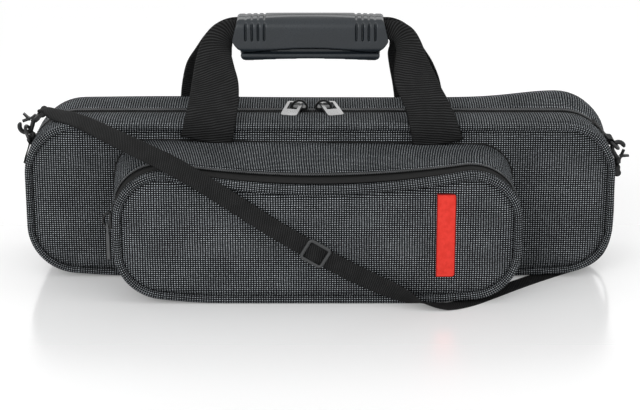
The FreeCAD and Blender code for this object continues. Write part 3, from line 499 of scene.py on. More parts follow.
def crown_lift(outline):
    """Inset of the rear half's top: a soft hump at the right and a slight wave at the left."""
    x, z = outline.places[:, 0], outline.places[:, 1]
    hump = 5.6 * np.exp(-((x - 184.0) / 42.0) ** 2) + 0.9 * np.exp(-((x + 120.0) / 60.0) ** 2)
    return -hump * ease((z - 78.0) / 30.0)


PANEL_STEPS = 16


def add_panel(patch, outline, inset, depth, side, crown, seed, wave):
    """Padded panel: rings from its sewn edge in to its spine."""
    rows = []
    for step in range(PANEL_STEPS + 1):
        share = (step / PANEL_STEPS) ** 0.85
        distance = share * 55.0
        edge = -2.6 * math.exp(-distance / 2.0)
        swell = crown * (1 - math.exp(-distance / 16.0))
        fade = 1 - math.exp(-distance / 5.0)
        ring = outline.toward_spine(inset, share, 1.0, 1.0)
        ring[:, 1] = [(depth + edge + swell + ripple(x, z, seed, wave) * fade) * side for x, _, z in ring]
        rows.append(ring)
    patch.planar(rows)


def add_inner_sheet(patch, outline, inset, depth, side):
    """Flat lining behind a panel."""
    patch.planar([outline.toward_spine(inset, share, depth, side) for share in (0.0, 0.5, 1.0)], 1)


def add_wall(patch, outline, profile, side, mark=0):
    """Sweep a list of (inset, depth) round an outline; v runs along the depth."""
    middles = [(np.median(np.broadcast_to(inset, len(outline.places))), depth) for inset, depth in profile]
    rows = [outline.ring(inset, depth, side) for inset, depth in profile]
    patch.band(rows, outline.run, arc_lengths(middles), outline.total, mark)


def columns_where(inside):
    """Column numbers, in order, of the one run of an outline where inside holds."""
    count = len(inside)
    start = next(i for i in range(count) if inside[i] and not inside[i - 1])
    run = []
    while inside[start % count]:
        run.append(start % count)
        start += 1
    return run


def open_run(outline, columns):
    """Arc length along a run of columns, rising without the jump at the outline's start."""
    run = outline.run[columns].copy()
    jump = np.where(np.diff(run) < 0)[0]
    if len(jump):
        run[jump[0] + 1:] += outline.total
    return run


def closed_strip(name, outline, columns, profile, ring, body, slot, material, *nodes):
    """Thin closed strip along part of an outline; ring(inset, depth) gives a row of points."""
    closed = profile + profile[:1]
    rows = [ring(inset, depth)[columns] for inset, depth in closed]
    patch = Patch().band(rows, open_run(outline, columns), arc_lengths(closed))
    piece = patch.build(name, body, slot, material)
    if nodes:
        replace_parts(piece, *nodes)


def sewn_cord(name, outline, depth, side, radius, inset, count, body, slot, material, node, columns=None):
    """Round cord sewn round an outline, or along a run of its columns."""
    angles = circle(count)
    rows = [outline.ring(inset - radius * math.cos(angle), depth + radius * math.sin(angle), side)
            for angle in angles]
    rows = np.array(rows + rows[:1])
    lengths = [radius * angle for angle in angles] + [2 * math.pi * radius]
    if columns is None:
        patch = Patch().band(rows, outline.run, lengths, outline.total)
    else:
        patch = Patch().band(rows[:, columns], open_run(outline, columns), lengths)
    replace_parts(patch.build(name, body, slot, material), node)


# Each ring of a tooth: its place along the tooth and its size.
TOOTH_RINGS = ((-1.0, 0.25), (-0.8, 0.8), (-0.2, 1.0), (0.5, 0.95), (1.0, 0.45))
TOOTH_SIDES = 6
# Reach past the middle, width, height and pitch of the teeth.
MAIN_TEETH = (0.5, 2.3, 1.5, 1.75)
POCKET_TEETH = (0.4, 1.9, 1.2, 1.6)


def even_points(outline, columns, pitch, at):
    """Evenly spaced (x, z, normal x, normal z) along a run of columns."""
    table = np.column_stack((outline.places, outline.normals))[columns]
    run = arc_lengths(table[:, :2])
    while at < run[-1]:
        yield [np.interp(at, run, line) for line in table.T]
        at += pitch


def zip_teeth(name, outline, columns, line, side, teeth, phase, body, node):
    """Row of moulded coil turns along one zip half, each reaching a little past the middle."""
    reach, width, height, pitch = teeth
    points = []
    faces = []
    uvs = []
    for x, z, nx, nz in even_points(outline, columns, pitch, pitch * phase):
        start = len(points)
        for place, size in TOOTH_RINGS:
            depth = line + (place * (width + reach) / 2 + (width - reach) / 2)
            for angle in circle(TOOTH_SIDES):
                up = 0.1 + height / 2 + math.cos(angle) * size * height / 2
                along = math.sin(angle) * size * pitch * 0.36
                points.append((x + nx * up - nz * along, depth * side, z + nz * up + nx * along))
        for ring in range(len(TOOTH_RINGS) - 1):
            for corner in range(TOOTH_SIDES):
                right = (corner + 1) % TOOTH_SIDES
                a = start + ring * TOOTH_SIDES
                faces.append((a + corner, a + right, a + TOOTH_SIDES + right, a + TOOTH_SIDES + corner))
                uvs.extend([(0, 0), (1, 0), (1, 1), (0, 1)])
        end = len(points) - TOOTH_SIDES
        faces.append(tuple(range(start, start + TOOTH_SIDES))[::-1])
        faces.append(tuple(range(end, end + TOOTH_SIDES)))
        uvs.extend([(0, 0)] * (2 * TOOTH_SIDES))
    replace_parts(add_mesh(name, points, faces, uvs, body, "zip_coil", COIL), node)


# ---- case halves
def case_half(name, depth, side, body, node, seed, lift):
    """Fabric shell of one half: lining inside, folded edge by the zip, gusset and padded panel."""
    patch = Patch()
    puff = above_floor(CASE, 0.7)
    bulge = above_floor(CASE, 1.1)
    outer = [
        (1.25, 0.8), (1.2, 6.6), (0.9, 7.1), (0.35 + puff * 0.5, 6.9), (puff, 7.3), (puff * 1.05, 8.6),
        (puff + lift * 0.1, 9.6), (bulge + lift * 0.4, 14.0), (bulge + lift * 0.75, 20.0),
        (bulge + lift * 0.95, 27.0), (puff + lift, depth - 6.0),
        (0.05 + lift, depth - 3.6), (0.9 + lift, depth - 2.2), (2.4 + lift, depth - 1.6),
    ]
    add_wall(patch, CASE, outer, side)
    add_panel(patch, CASE, 4.5 + lift, depth, side, 1.0, seed, 0.45)
    add_wall(patch, CASE, [(1.25, 0.8), (4.2, 0.6), (5.0, 1.4), (5.0, depth - 7.0)], side, mark=1)
    add_inner_sheet(patch, CASE, 5.0, depth - 7.0, side)
    piece = patch.build(name, body, "tweed", TWEED, LINING, weld=2e-5)
    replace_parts(piece, node)


REAR_LIFT = crown_lift(CASE)
FRONT_LIFT = -1.3 * np.clip((CASE.places[:, 1] - 100.0) / 18.0, 0.0, 1.0)
HALVES = (("rear", REAR_DEPTH, 1, "root", REAR_LIFT, 3.0),
          ("front", FRONT_DEPTH, -1, "front_half", FRONT_LIFT, 11.0))
for name, depth, side, body, lift, seed in HALVES:
    case_half(name + "_shell_fabric", depth, side, body, name + "_cover", seed, lift)
for name, depth, side, body, lift, _ in HALVES:
    sewn_cord(name + "_piping_cord", CASE, depth + PIPING_PROUD - PIPING_RADIUS, side, PIPING_RADIUS,
              PIPING_RADIUS + lift, 12, body, "tweed", TWEED_TUBE, name + "_piping")

upper = columns_where(CASE.places[:, 1] >= ZIP_END)
lower = columns_where(CASE.places[:, 1] <= ZIP_END - 0.3)
CASE_STRIPS = (
    ("_zip_tape_cloth", "_zip_tape", upper,
     [(0.45, 0.35), (0.25, 2.3), (0.35, 7.6), (1.05, 7.6), (1.05, 0.35)]),
    ("_hinge_cloth", "_hinge_strip", lower, [(0.15, 0.2), (0.05, 3.0), (0.15, 7.4), (1.1, 7.4), (1.1, 0.2)]),
)
for name, _, side, body, _, _ in HALVES:
    for kind, node, columns, profile in CASE_STRIPS:
        closed_strip(name + kind, CASE, columns, profile, lambda inset, depth: CASE.ring(inset, depth, side),
                     body, "black_tape", TAPE, name + node)
    zip_teeth(name + "_zip_teeth", CASE, upper, 0.15, side, MAIN_TEETH, 0.25 if side > 0 else 0.75, body,
              name + "_zip_coil")


# ---- pocket
def pocket_wall():
    """Side wall of the pocket, folded over the zip's rear tape, with lining inside."""
    patch = Patch()
    middle = pocket_outline(60.0)
    puff = above_floor(middle, 0.5)
    outer = [(0.6, 41.6), (0.0, 42.6), (puff * 0.6, 46.0), (puff, 54.0), (puff, 62.0), (puff * 0.8, 70.0),
             (puff * 0.6, 77.0), (puff * 0.6, 79.2), (0.2, 80.1), (1.0, 79.7), (1.4, 78.6)]
    inner = [(1.4, 78.6), (2.4, 77.5), (2.5, 60.0), (2.5, 42.0)]
    for profile, lengths, mark in ((outer, arc_lengths([(0, depth) for _, depth in outer]), 0),
                                   (inner, arc_lengths(inner), 1)):
        rows = [pocket_ring(inset, depth) for inset, depth in profile]
        patch.band(rows, middle.run, lengths, middle.total, mark)
    piece = patch.build("pocket_wall_fabric", "front_half", "tweed", TWEED, LINING, weld=1e-5)
    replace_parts(piece, "pocket_box")


def pocket_strip(name, profile, over, body, slot, material, *nodes):
    """Closed thin strip on the pocket's tapering side wall, over or under the zip's ends."""
    middle = pocket_outline(profile[0][1])
    heights = middle.places[:, 1]
    columns = columns_where(heights >= ZIP_END + 0.3 if over else heights <= ZIP_END)
    closed_strip(name, middle, columns, profile, pocket_ring, body, slot, material, *nodes)


pocket_wall()
pocket_strip("pocket_floor_fabric", [(0.1, 79.0), (0.0, 86.0), (0.1, 91.6), (2.4, 91.6), (2.4, 79.0)],
             False, "front_half", "tweed", TWEED)
pocket_strip("pocket_rear_tape_cloth", [(0.5, 78.5), (0.35, 81.0), (0.5, 83.7), (1.2, 83.7), (1.2, 78.5)],
             True, "front_half", "black_tape", TAPE, "pocket_rear_zip_tape")
pocket_strip("pocket_front_tape_cloth",
             [(0.5, 84.3), (0.2, 86.5), (0.0, 89.0), (0.4, 92.4), (1.3, 92.4), (1.2, 84.3)],
             True, "pocket_flap", "black_tape", TAPE, "pocket_front_zip_tape")
zip_outline = pocket_outline(POCKET_ZIP)
zip_columns = columns_where(zip_outline.places[:, 1] >= ZIP_END + 0.3)
for name, side, phase, body in (("pocket_rear", 1, 0.25, "front_half"),
                                ("pocket_front", -1, 0.75, "pocket_flap")):
    zip_teeth(name + "_zip_teeth", zip_outline, zip_columns, -side * POCKET_ZIP + 0.1, side, POCKET_TEETH,
              phase, body, name + "_zip_coil")

FRONT = pocket_outline(POCKET_FRONT)


def pocket_panel():
    """Padded front of the pocket with its thickness behind the piping."""
    patch = Patch()
    add_panel(patch, FRONT, 5.0, POCKET_FRONT, -1, 1.6, 21.0, 0.55)
    edge = [(5.0, 1.6), (3.2, 2.6), (0.6, 3.4), (-0.15, 4.6), (-0.1, 6.3), (0.5, 6.9), (2.5, 6.0)]
    add_wall(patch, FRONT, [(inset, POCKET_FRONT - behind) for inset, behind in edge], -1)
    add_inner_sheet(patch, FRONT, 2.5, POCKET_FRONT - 6.0, -1)
    piece = patch.build("pocket_panel_fabric", "pocket_flap", "tweed", TWEED, LINING, weld=2e-5)
    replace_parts(piece, "pocket_front_panel")


pocket_panel()
sewn_cord("pocket_piping_cord", FRONT, POCKET_FRONT - 1.0, -1, 3.0, 3.0, 12, "pocket_flap", "tweed",
          TWEED_TUBE, "pocket_front_piping")
POCKET_BACK = pocket_outline(FRONT_DEPTH)
sewn_cord("pocket_seam_edge", POCKET_BACK, FRONT_DEPTH + 0.6, -1, 0.55, -0.6, 8, "front_half", "black_tape",
          TAPE, "pocket_binding", columns=columns_where(POCKET_BACK.places[:, 1] >= ZIP_END))


# ---- label
def red_label():
    """Bare woven label: sewn flat at its seam, soft raised rim, round free corners."""
    corner = 3.2
    half = (LABEL_RIGHT - LABEL_LEFT) / 2
    outline = [(LABEL_LEFT, LABEL_LOW), (LABEL_LEFT, LABEL_TOP)]
    for cz, start in ((LABEL_TOP - corner, 90), (LABEL_LOW + corner, 0)):
        for step in range(9):
            angle = math.radians(start - step * 11.25)
            outline.append((LABEL_RIGHT - corner + corner * math.cos(angle), cz + corner * math.sin(angle)))
    outline = np.array(outline)
    dense = []
    for a, b in zip(outline, np.roll(outline, -1, axis=0)):
        count = max(1, int(np.linalg.norm(b - a) / 2.0))
        dense += [a + (b - a) * step / count for step in range(count)]
    dense = np.array(dense)
    spine = np.array([((LABEL_LEFT + LABEL_RIGHT) / 2, min(max(z, LABEL_LOW + half), LABEL_TOP - half))
                      for _, z in dense])
    rows = []
    for share, y in ((0.0, 99.0), (0.0, 99.9), (0.05, 100.35), (0.13, 100.5), (0.18, 100.25), (0.35, 100.3),
                     (0.7, 100.35), (1.0, 100.35)):
        ring = dense + (spine - dense) * share
        rows.append(np.column_stack((ring[:, 0], np.full(len(ring), -y), ring[:, 1])))
    patch = Patch().planar(rows)
    piece = patch.build("label_red_cloth", "pocket_flap", "label_red", LABEL, weld=1e-5)
    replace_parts(piece, "label_tab")


red_label()


# ---- webbing
# Cross sections: place across the webbing and height, both as shares of its half size.
WEB_SECTION = ((-1.0, 0.0), (-0.965, 0.8), (-0.86, 1.0), (-0.4, 1.0), (0.0, 1.0), (0.4, 1.0), (0.86, 1.0),
               (0.965, 0.8), (1.0, 0.0), (0.965, -0.8), (0.86, -1.0), (0.4, -1.0), (0.0, -1.0),
               (-0.4, -1.0), (-0.86, -1.0), (-0.965, -0.8))
STRAP_SECTION = ((-1.0, 0.0), (-0.97, 0.85), (-0.80, 1.0), (0.80, 1.0), (0.97, 0.85), (1.0, 0.0),
                 (0.97, -0.85), (0.80, -1.0), (-0.80, -1.0), (-0.97, -0.85))


def smooth_stations(stations, per_span):
    """Catmull-Rom run through rows of centre, across and half width."""
    data = np.array(stations, float)
    padded = np.vstack((2 * data[0] - data[1], data, 2 * data[-1] - data[-2]))
    found = []
    for index in range(1, len(padded) - 2):
        p0, p1, p2, p3 = padded[index - 1:index + 3]
        for step in range(per_span):
            t = step / per_span
            found.append(0.5 * ((2 * p1) + (p2 - p0) * t + (2 * p0 - 5 * p1 + 4 * p2 - p3) * t * t
                                + (3 * p1 - p0 - 3 * p2 + p3) * t ** 3))
    found.append(padded[-2])
    return np.array(found)


def ribbon(data, thickness, section):
    """Section swept along rows of centre, across and half width."""
    centres = data[:, :3]
    travel = np.gradient(centres, axis=0)
    travel /= np.linalg.norm(travel, axis=1)[:, None]
    across = data[:, 3:6]
    across = across - travel * np.sum(across * travel, axis=1)[:, None]
    across /= np.linalg.norm(across, axis=1)[:, None]
    normal = np.cross(travel, across)
    half = data[:, 6]
    thick = np.broadcast_to(thickness, half.shape) / 2
    rows = []
    vs = []
    for place, lift in section + section[:1]:
        rows.append(centres + across * (place * half)[:, None] + normal * (lift * thick)[:, None])
        vs.append(place * half + (100.0 if lift < 0 else 0.0))
    rows = np.array(rows)
    return Patch().grid(rows, np.tile(arc_lengths(centres), (len(rows), 1)), np.array(vs)).cap_ends(rows)


# Each leg runs (x, y, z, half width, lean of the width in degrees) from its foot into the grip.
HANDLE_LEGS = (
    ("front_handle_web_left", "front_half", -1, ("front_handle_strap",), (
        (-85.2, -44.9, 108.4, 19.2, 0), (-82.6, -45.1, 119.0, 19.0, 0), (-80.8, -42.4, 129.0, 18.7, 0),
        (-79.0, -36.0, 138.5, 18.4, 0), (-78.4, -28.6, 148.5, 17.6, 0), (-79.2, -20.1, 158.8, 15.2, 2),
        (-79.0, -12.6, 168.8, 12.6, 8), (-76.6, -7.9, 177.0, 10.6, 26), (-71.0, -5.6, 182.6, 9.0, 55),
        (-64.0, -5.4, 184.4, 7.8, 80), (-57.0, -5.4, 184.6, 7.2, 90))),
    ("front_handle_web_right", "front_half", 1, (), (
        (88.6, -44.9, 105.6, 19.0, 0), (84.8, -44.9, 119.6, 18.0, 0), (80.0, -39.6, 133.6, 16.4, 0),
        (75.1, -32.8, 143.2, 15.8, 0), (70.6, -25.1, 152.7, 15.6, 0), (68.6, -17.3, 162.3, 12.9, 4),
        (67.0, -10.4, 172.1, 10.2, 16), (63.6, -6.8, 179.4, 9.0, 38), (57.6, -5.5, 183.6, 7.9, 66),
        (50.0, -5.4, 184.6, 7.2, 86), (43.0, -5.4, 184.6, 7.2, 90))),
    ("rear_handle_web_left", "root", -1, ("rear_handle_strap",), (
        (-90.2, 42.1, 110.0, 19.6, 0), (-90.0, 42.0, 120.0, 19.4, 0), (-88.4, 36.6, 134.4, 18.8, 0),
        (-85.9, 26.4, 149.1, 17.4, 0), (-81.6, 16.7, 161.9, 14.4, 3), (-78.0, 10.5, 171.3, 11.8, 14),
        (-73.4, 6.6, 179.0, 9.6, 40), (-66.0, 5.4, 183.8, 8.0, 70), (-57.0, 5.4, 184.6, 7.2, 90))),
    ("rear_handle_web_right", "root", 1, (), (
        (77.4, 42.1, 110.0, 19.4, 0), (77.2, 42.0, 120.0, 19.0, 0), (74.6, 36.6, 134.4, 18.4, 0),
        (70.4, 26.4, 149.1, 17.0, 0), (66.0, 16.7, 161.9, 14.4, 3), (63.8, 10.5, 171.3, 11.6, 14),
        (60.0, 6.6, 179.0, 9.4, 40), (53.0, 5.4, 183.8, 8.0, 70), (44.0, 5.4, 184.6, 7.2, 90))),
)

for name, body, sign, nodes, stations in HANDLE_LEGS:
    leg = [(x, y, z, sign * math.cos(math.radians(lean)), 0.0, math.sin(math.radians(lean)), half)
           for x, y, z, half, lean in stations]
    piece = ribbon(smooth_stations(leg, 6), 1.7, WEB_SECTION).build(name, body, "handle_webbing", WEBBING)
    if nodes:
        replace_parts(piece, *nodes)


# ---- shoulder strap
# Points of the strap's route, from the left eye to the right, each with the direction of its width.
STRAP_ROUTE = np.array((
    (-209.9, -14.3, 124.9, 0, 1, 0), (-203.5, -18.0, 123.9, 0.05, 0.98, 0.1),
    (-197.3, -24.0, 123.2, 0.12, 0.97, 0.22), (-190.3, -31.0, 123.4, 0.16, 0.95, 0.28),
    (-182.6, -38.0, 123.4, 0.19, 0.92, 0.33), (-172.0, -47.0, 122.3, 0.27, 0.88, 0.37),
    (-162.3, -56.5, 120.5, 0.32, 0.84, 0.44), (-151.1, -67.0, 118.4, 0.37, 0.77, 0.53),
    (-136.9, -79.0, 115.5, 0.41, 0.63, 0.66), (-122.2, -90.5, 112.1, 0.42, 0.6, 0.67),
    (-107.9, -99.0, 107.8, 0.45, 0.48, 0.75), (-94.2, -102.2, 100.7, 0.52, 0.1, 0.84),
    (-79.3, -102.4, 91.1, 0.55, 0, 0.83), (-58.5, -102.4, 77.0, 0.56, 0, 0.83),
    (-36.3, -102.4, 61.8, 0.55, 0, 0.83), (-15.3, -102.4, 48.6, 0.53, 0, 0.85),
    (8.8, -102.4, 34.2, 0.5, 0, 0.87), (29.8, -102.4, 22.8, 0.44, 0, 0.9),
    (48.8, -102.6, 14.0, 0.36, -0.16, 0.91), (62.8, -104.6, 8.4, 0.28, -0.48, 0.78),
    (75.8, -107.4, 4.0, 0.14, -0.9, 0.3), (92.5, -107.6, 0.85, -0.1, -0.99, 0.03),
    (108.5, -98.8, 0.6, 0.55, -0.83, 0), (126.5, -82.0, 0.6, 0.7, -0.71, 0),
    (147.0, -62.0, 0.6, 0.68, -0.73, 0), (166.5, -45.0, 0.6, 0.66, -0.75, 0),
    (184.0, -30.5, 0.6, 0.62, -0.78, 0), (200.0, -19.5, 1.1, 0.5, -0.86, 0),
    (212.0, -14.8, 4.6, 0.15, -0.99, 0), (220.6, -14.0, 13.0, 0, -1, 0),
    (224.6, -14.0, 27.0, 0, -1, 0), (225.2, -14.1, 44.0, 0, -1, 0),
    (224.8, -14.2, 61.0, 0, -1, 0), (224.5, -14.3, 77.0, 0, -1, 0),
))
STRAP_WIDTH = 14.0
STRAP_DOUBLE, STRAP_SINGLE = 2.1, 1.2  # thickness before and after the slide
SLIDE_LEG = 15  # leg of the route that the slide sits on


def route_line(points):
    """Points of the NURBS curve that has the route as its control points."""
    curve = bpy.data.curves.new("route", "CURVE")
    curve.dimensions = "3D"
    curve.resolution_u = 6
    spline = curve.splines.new("NURBS")
    spline.points.add(len(points) - 1)
    for point, place in zip(spline.points, points):
        point.co = (*place, 1.0)
    spline.order_u = 3
    spline.use_endpoint_u = True
    carrier = add_object("route", curve)
    line = bpy.data.meshes.new_from_object(carrier)
    found = np.array([v.co for v in line.vertices])
    bpy.data.objects.remove(carrier)
    bpy.data.meshes.remove(line)
    bpy.data.curves.remove(curve)
    return found


def strap_webbing():
    places, acrosses = STRAP_ROUTE[:, :3], STRAP_ROUTE[:, 3:]
    line = route_line(places.tolist())
    marks = arc_lengths(places)
    run = arc_lengths(line)
    at = run / run[-1] * marks[-1]
    across = np.column_stack([np.interp(at, marks, part) for part in acrosses.T])
    slide_at = (marks[SLIDE_LEG] + marks[SLIDE_LEG + 1]) / 2
    thickness = np.where(at < slide_at, STRAP_DOUBLE, STRAP_SINGLE)
    data = np.column_stack((line, across, np.full(len(line), STRAP_WIDTH / 2)))
    patch = ribbon(data, thickness, STRAP_SECTION)
    piece = patch.build("shoulder_strap_webbing", None, "strap_webbing", STRAP_WEB)
    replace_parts(piece, "shoulder_strap")
    return piece, to_frame(line), run[-1] * MM


strap, strap_path, strap_length = strap_webbing()
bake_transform(strap)


def strap_end_loop(name, centre, body):
    """Webbing sewn round the bar of the strap's end eye."""
    outer = 2.9
    section = ((1.85, -6.9), (2.7, -7.0), (outer, -6.4), (outer, 0.0), (outer, 6.4), (2.7, 7.0), (1.85, 6.9))
    breadths = (0.0, 0.8, 1.5, 8.0, 14.5, 15.0, 16.0, 17.0)
    angles = circle(22) + [2 * math.pi]
    rows = [[(centre[0] + radius * math.cos(angle), centre[1] + y, centre[2] + radius * math.sin(angle))
             for radius, y in section + section[:1]] for angle in angles]
    patch = Patch().ladder(rows, [angle * outer for angle in angles], breadths)
    return patch.build(name, body, "strap_webbing", STRAP_WEB)


SLIDE_CENTRE = np.array((-3.25, -102.4, 41.4))
SLIDE_ALONG = np.array((0.8585, 0.0, -0.5129))
SLIDE_ACROSS = np.array((0.5129, 0.0, 0.8585))


def slide_point(along, across, out):
    return SLIDE_CENTRE + SLIDE_ALONG * along + SLIDE_ACROSS * across - np.array((0.0, out, 0.0))


def slide_frame():
    """Moulded adjuster: a rounded frame on the strap with a bar through the webbing."""
    half_length, half_width, corner = 8.4, 7.5, 2.3
    path = []
    for turn, (sx, sz) in enumerate(((1, 1), (-1, 1), (-1, -1), (1, -1))):
        for step in range(7):
            angle = math.radians(90.0 * turn + 15.0 * step)
            na, nb = math.cos(angle), math.sin(angle)
            path.append((sx * (half_length - corner) + corner * na, sz * (half_width - corner) + corner * nb,
                         na, nb))
    rows = []
    for angle in circle(10):
        out, fore = 1.3 * math.cos(angle), 1.15 * math.sin(angle)
        rows.append([slide_point(a + na * out, b + nb * out, 2.35 + fore) for a, b, na, nb in path])
    patch = Patch().planar(rows + rows[:1])
    eighths = [k * math.pi / 4 for k in range(9)]
    bar = np.array([[slide_point(1.5 * math.cos(angle), across, 0.9 + 0.9 * math.sin(angle))
                     for across in (-7.6, 0.0, 7.6)] for angle in eighths])
    patch.grid(bar, bar[:, :, 0], bar[:, :, 2])
    piece = patch.build("strap_slide_frame", "strap_slide", "slide_plastic", SLIDE_PLASTIC)
    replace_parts(piece, "strap_slide")
    return piece


def slide_fold():
    """Webbing that humps over the adjuster's bar."""
    alongs = np.linspace(-7.0, 7.0, 13)
    acrosses = (-6.5, -6.4, -5.8, 0.0, 5.8, 6.4, 6.5)
    drops = (0.9, 0.15, 0.0, 0.0, 0.0, 0.15, 0.9)
    rows = []
    for along in alongs:
        lift = 1.3 + 1.5 * math.exp(-(along / 3.4) ** 2) - 0.25 * (abs(along) > 6.9)
        rows.append([slide_point(along, across, lift - drop) for across, drop in zip(acrosses, drops)])
    patch = Patch().ladder(rows, alongs, acrosses)
    return patch.build("strap_slide_fold", "strap_slide", "strap_webbing", STRAP_WEB, weld=0.0)


slide_piece = slide_frame()
fold_piece = slide_fold()
left_loop = strap_end_loop("strap_end_loop_left", (-209.88, STRAP_LEVEL, 123.155), "front_half")
right_loop = strap_end_loop("strap_end_loop_right", (226.78, STRAP_LEVEL, 76.47), "front_half")
tuple(strap_path[0])


# ---- ring tabs
def ring_tab(name, sign, angle, up, node):
    """Folded webbing tab sewn to the case's end, with a round eye for the ring."""
    turn = math.radians(angle)
    out = np.array((sign * math.cos(turn), 0.0, math.sin(turn)))
    along = np.array((-sign * math.sin(turn), 0.0, math.cos(turn))) * up
    seat = np.array((sign * (184.0 + 38.3 * math.cos(turn)), STRAP_LEVEL, 82.0 + 38.3 * math.sin(turn)))
    profile = [(-12.0, 0.4), (-11.6, 1.9), (-6.0, 2.3), (0.0, 2.3), (4.2, 2.6)]
    for step in range(15):
        around = math.radians(120 - step * 20)
        profile.append((7.5 + 2.55 * math.cos(around), 2.5 + 2.55 * math.sin(around)))
    profile += [(4.0, 0.5), (0.0, 0.3), (-6.0, 0.3), profile[0]]
    breadths = (-7.0, -6.6, -3.0, 0.0, 3.0, 6.6, 7.0)
    rows = [[seat + along * far + out * high + np.array((0.0, y, 0.0)) for y in breadths]
            for far, high in profile]
    patch = Patch().ladder(rows, arc_lengths(profile), breadths)
    piece = patch.build(name, "front_half", "handle_webbing", WEBBING)
    solid = piece.modifiers.new("cloth_thickness", "SOLIDIFY")
    solid.thickness = 0.0004
    solid.offset = -1.0
    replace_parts(piece, node)


ring_tab("ring_tab_web_left", -1, 20.0, 1, "ring_tab_left")
ring_tab("ring_tab_web_right", 1, 38.0, -1, "ring_tab_right")


# ---- copies of CAD nodes, and the nodes that stay
def soft_copy(name, node, voxel, iterations):
    """Remeshed and relaxed copy of a node's form."""
    piece = add_object(name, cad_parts[node].data.copy())
    remesh = piece.modifiers.new("remesh", "REMESH")
    remesh.mode = "VOXEL"
    remesh.voxel_size = voxel
    relax = piece.modifiers.new("relax", "SMOOTH")
    relax.factor = 0.5
    relax.iterations = iterations
    graph = bpy.context.evaluated_depsgraph_get()
    made = bpy.data.meshes.new_from_object(piece.evaluated_get(graph), depsgraph=graph)
    made.polygons.foreach_set("use_smooth", [True] * len(made.polygons))
    piece.modifiers.clear()
    piece.data = made
    return piece


def dress(mesh, material):
    mesh.materials.clear()
    mesh.materials.append(material)


def stand_in(piece, material, body, node):
    dress(piece.data, material)
    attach(piece, body)
    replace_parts(piece, node)


def vertex_places(mesh):
    places = np.empty(len(mesh.vertices) * 3)
    mesh.vertices.foreach_get("co", places)
    return places.reshape(-1, 3)


def foam_lining(name, node, body):
    """Plush-covered moulded foam."""
    piece = soft_copy(name, node, 0.0028, 3)
    stand_in(piece, PLUSH, body, node)


def grip_skin(name, node, body, lip):
    """Soft moulded half of the grip, hanging a little lower; lip shapes the one that shows below."""
    piece = soft_copy(name, node, 0.0005, 4)
    places = vertex_places(piece.data) / MM
    places[:, 1] -= PARTING_Y
    if lip:
        under = ease((171.5 - places[:, 2]) / 2.0) * (places[:, 1] < 0.0)
        places[:, 1] *= 1.0 + 0.34 * under
        places[:, 0] += (places[:, 0] + 7.3) * 0.11 * under
        rise = np.clip((places[:, 2] - 164.0) / 5.0, 0.0, 1.0)
        places[:, 1] *= 0.55 + 0.45 * np.sqrt(1.0 - (1.0 - rise) ** 2)
    places[:, 2] -= 2.6 * ease((182.0 - places[:, 2]) / 11.0)
    piece.data.vertices.foreach_set("co", to_frame(places).ravel())
    piece.data.update()
    stand_in(piece, RUBBER, body, node)


def wide_pull(name, node, body):
    """Cast copy of a zip pull, wider and thicker about its own middle, with eased edges."""
    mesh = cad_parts[node].data.copy()
    places = vertex_places(mesh)
    middle = (places.min(axis=0) + places.max(axis=0)) / 2
    axes = np.linalg.svd(places - places.mean(axis=0), full_matrices=False)[2]
    local = (places - middle) @ axes.T * np.array((1.0, 1.20, 1.35))
    mesh.vertices.foreach_set("co", (middle + local @ axes).ravel())
    mesh.update()
    piece = add_object(name, mesh)
    bevel = piece.modifiers.new("eased_edges", "BEVEL")
    bevel.width = 0.0003
    bevel.segments = 2
    bevel.limit_method = "ANGLE"
    stand_in(piece, SILVER, body, node)


foam_lining("flute_tray_plush", "rear_foam_tray", "root")
foam_lining("lid_pad_plush", "front_foam_pad", "front_half")
grip_skin("front_grip_skin", "front_grip_half", "front_half", False)
grip_skin("rear_grip_skin", "rear_grip_half", "root", True)
for end in ("_left", "_right"):
    wide_pull("cast_pull" + end, "main_pull" + end, "main_pull" + end)
    for kind in ("main_slider", "d_ring", "hook", "hook_gate", "strap_eye"):
        dress(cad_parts[kind + end].data, BLACK_METAL)
dress(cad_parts["pocket_slider"].data, BLACK_METAL)
dress(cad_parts["pocket_pull"].data, GREY_PULL)


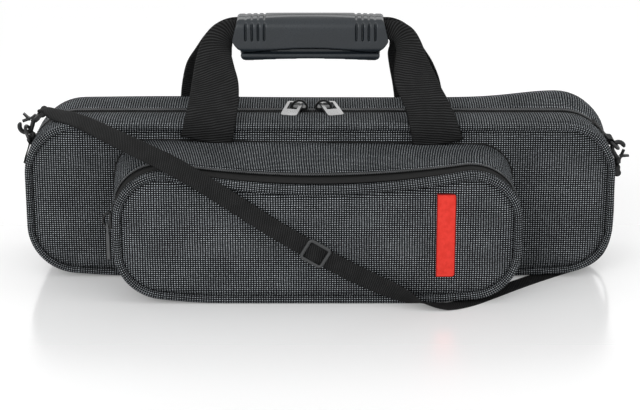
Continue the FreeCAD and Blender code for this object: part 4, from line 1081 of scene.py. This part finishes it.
# ---- floor and light
def floor():
    """Glossy white floor, clearest under the case and duller away from it."""
    s = Shader("floor_white_gloss")
    place = s.place("Object")
    tone = s.remap(s.noise(place, 2.0), 0.3, 0.7, 0.90, 0.92)
    white = s.node("ShaderNodeCombineColor", tone, tone, tone).outputs[0]
    x, y, _ = s.split(place)
    reach = s.math("MAXIMUM", s.beyond(y, -0.02, 0.06), s.beyond(x, 0.0, 0.20))
    rough = s.remap(reach, 0.0, 0.16, 0.13, 0.5)
    s.wire(s.math("MULTIPLY", s.node("ShaderNodeLightPath").outputs["Is Camera Ray"], 0.18),
           s.shader.inputs["Emission Strength"])
    material = s.finish(white, roughness=rough, Specular_IOR_Level=1.0, IOR=1.8,
                        Emission_Color=WHITE)
    size = 6.0
    mesh = bpy.data.meshes.new("floor")
    corners = [(x * size, y * size, 0) for x, y in ((-1, -1), (1, -1), (1, 1), (-1, 1))]
    mesh.from_pydata(corners, [], [(0, 1, 2, 3)])
    mesh.materials.append(material)
    add_object("floor", mesh)


def light(name, place, aim, size, power):
    data = bpy.data.lights.new(name, "AREA")
    data.shape = "RECTANGLE"
    data.size, data.size_y = size
    data.energy = power
    lamp = add_object(name, data)
    lamp.location = place
    lamp.rotation_euler = (Vector(aim) - Vector(place)).to_track_quat("-Z", "Y").to_euler()


def surroundings():
    """A world that is white to the camera and in reflections, and dimmer as a light."""
    world = bpy.data.worlds.new("studio")
    scene.world = world
    world.use_nodes = True
    nodes, links = world.node_tree.nodes, world.node_tree.links
    path = nodes.new("ShaderNodeLightPath")
    join = nodes.new("ShaderNodeMath")
    join.operation = "MAXIMUM"
    mixer = nodes.new("ShaderNodeMixShader")
    for index, kind in enumerate(("Is Camera Ray", "Is Glossy Ray")):
        links.new(path.outputs[kind], join.inputs[index])
    links.new(join.outputs[0], mixer.inputs[0])
    for index, (back, strength) in enumerate(((nodes["Background"], 0.78),
                                              (nodes.new("ShaderNodeBackground"), 1.0))):
        back.inputs["Color"].default_value = WHITE
        back.inputs["Strength"].default_value = strength
        links.new(back.outputs[0], mixer.inputs[index + 1])
    links.new(mixer.outputs[0], nodes["World Output"].inputs["Surface"])


floor()
light("key_softbox", (-0.9, -1.7, 1.1), (0.0, 0.0, 0.08), (1.2, 0.9), 13.0)
light("side_softbox", (1.5, -0.5, 0.8), (0.1, 0.0, 0.08), (0.8, 0.8), 3.0)
surroundings()
scene.view_settings.view_transform = "Standard"
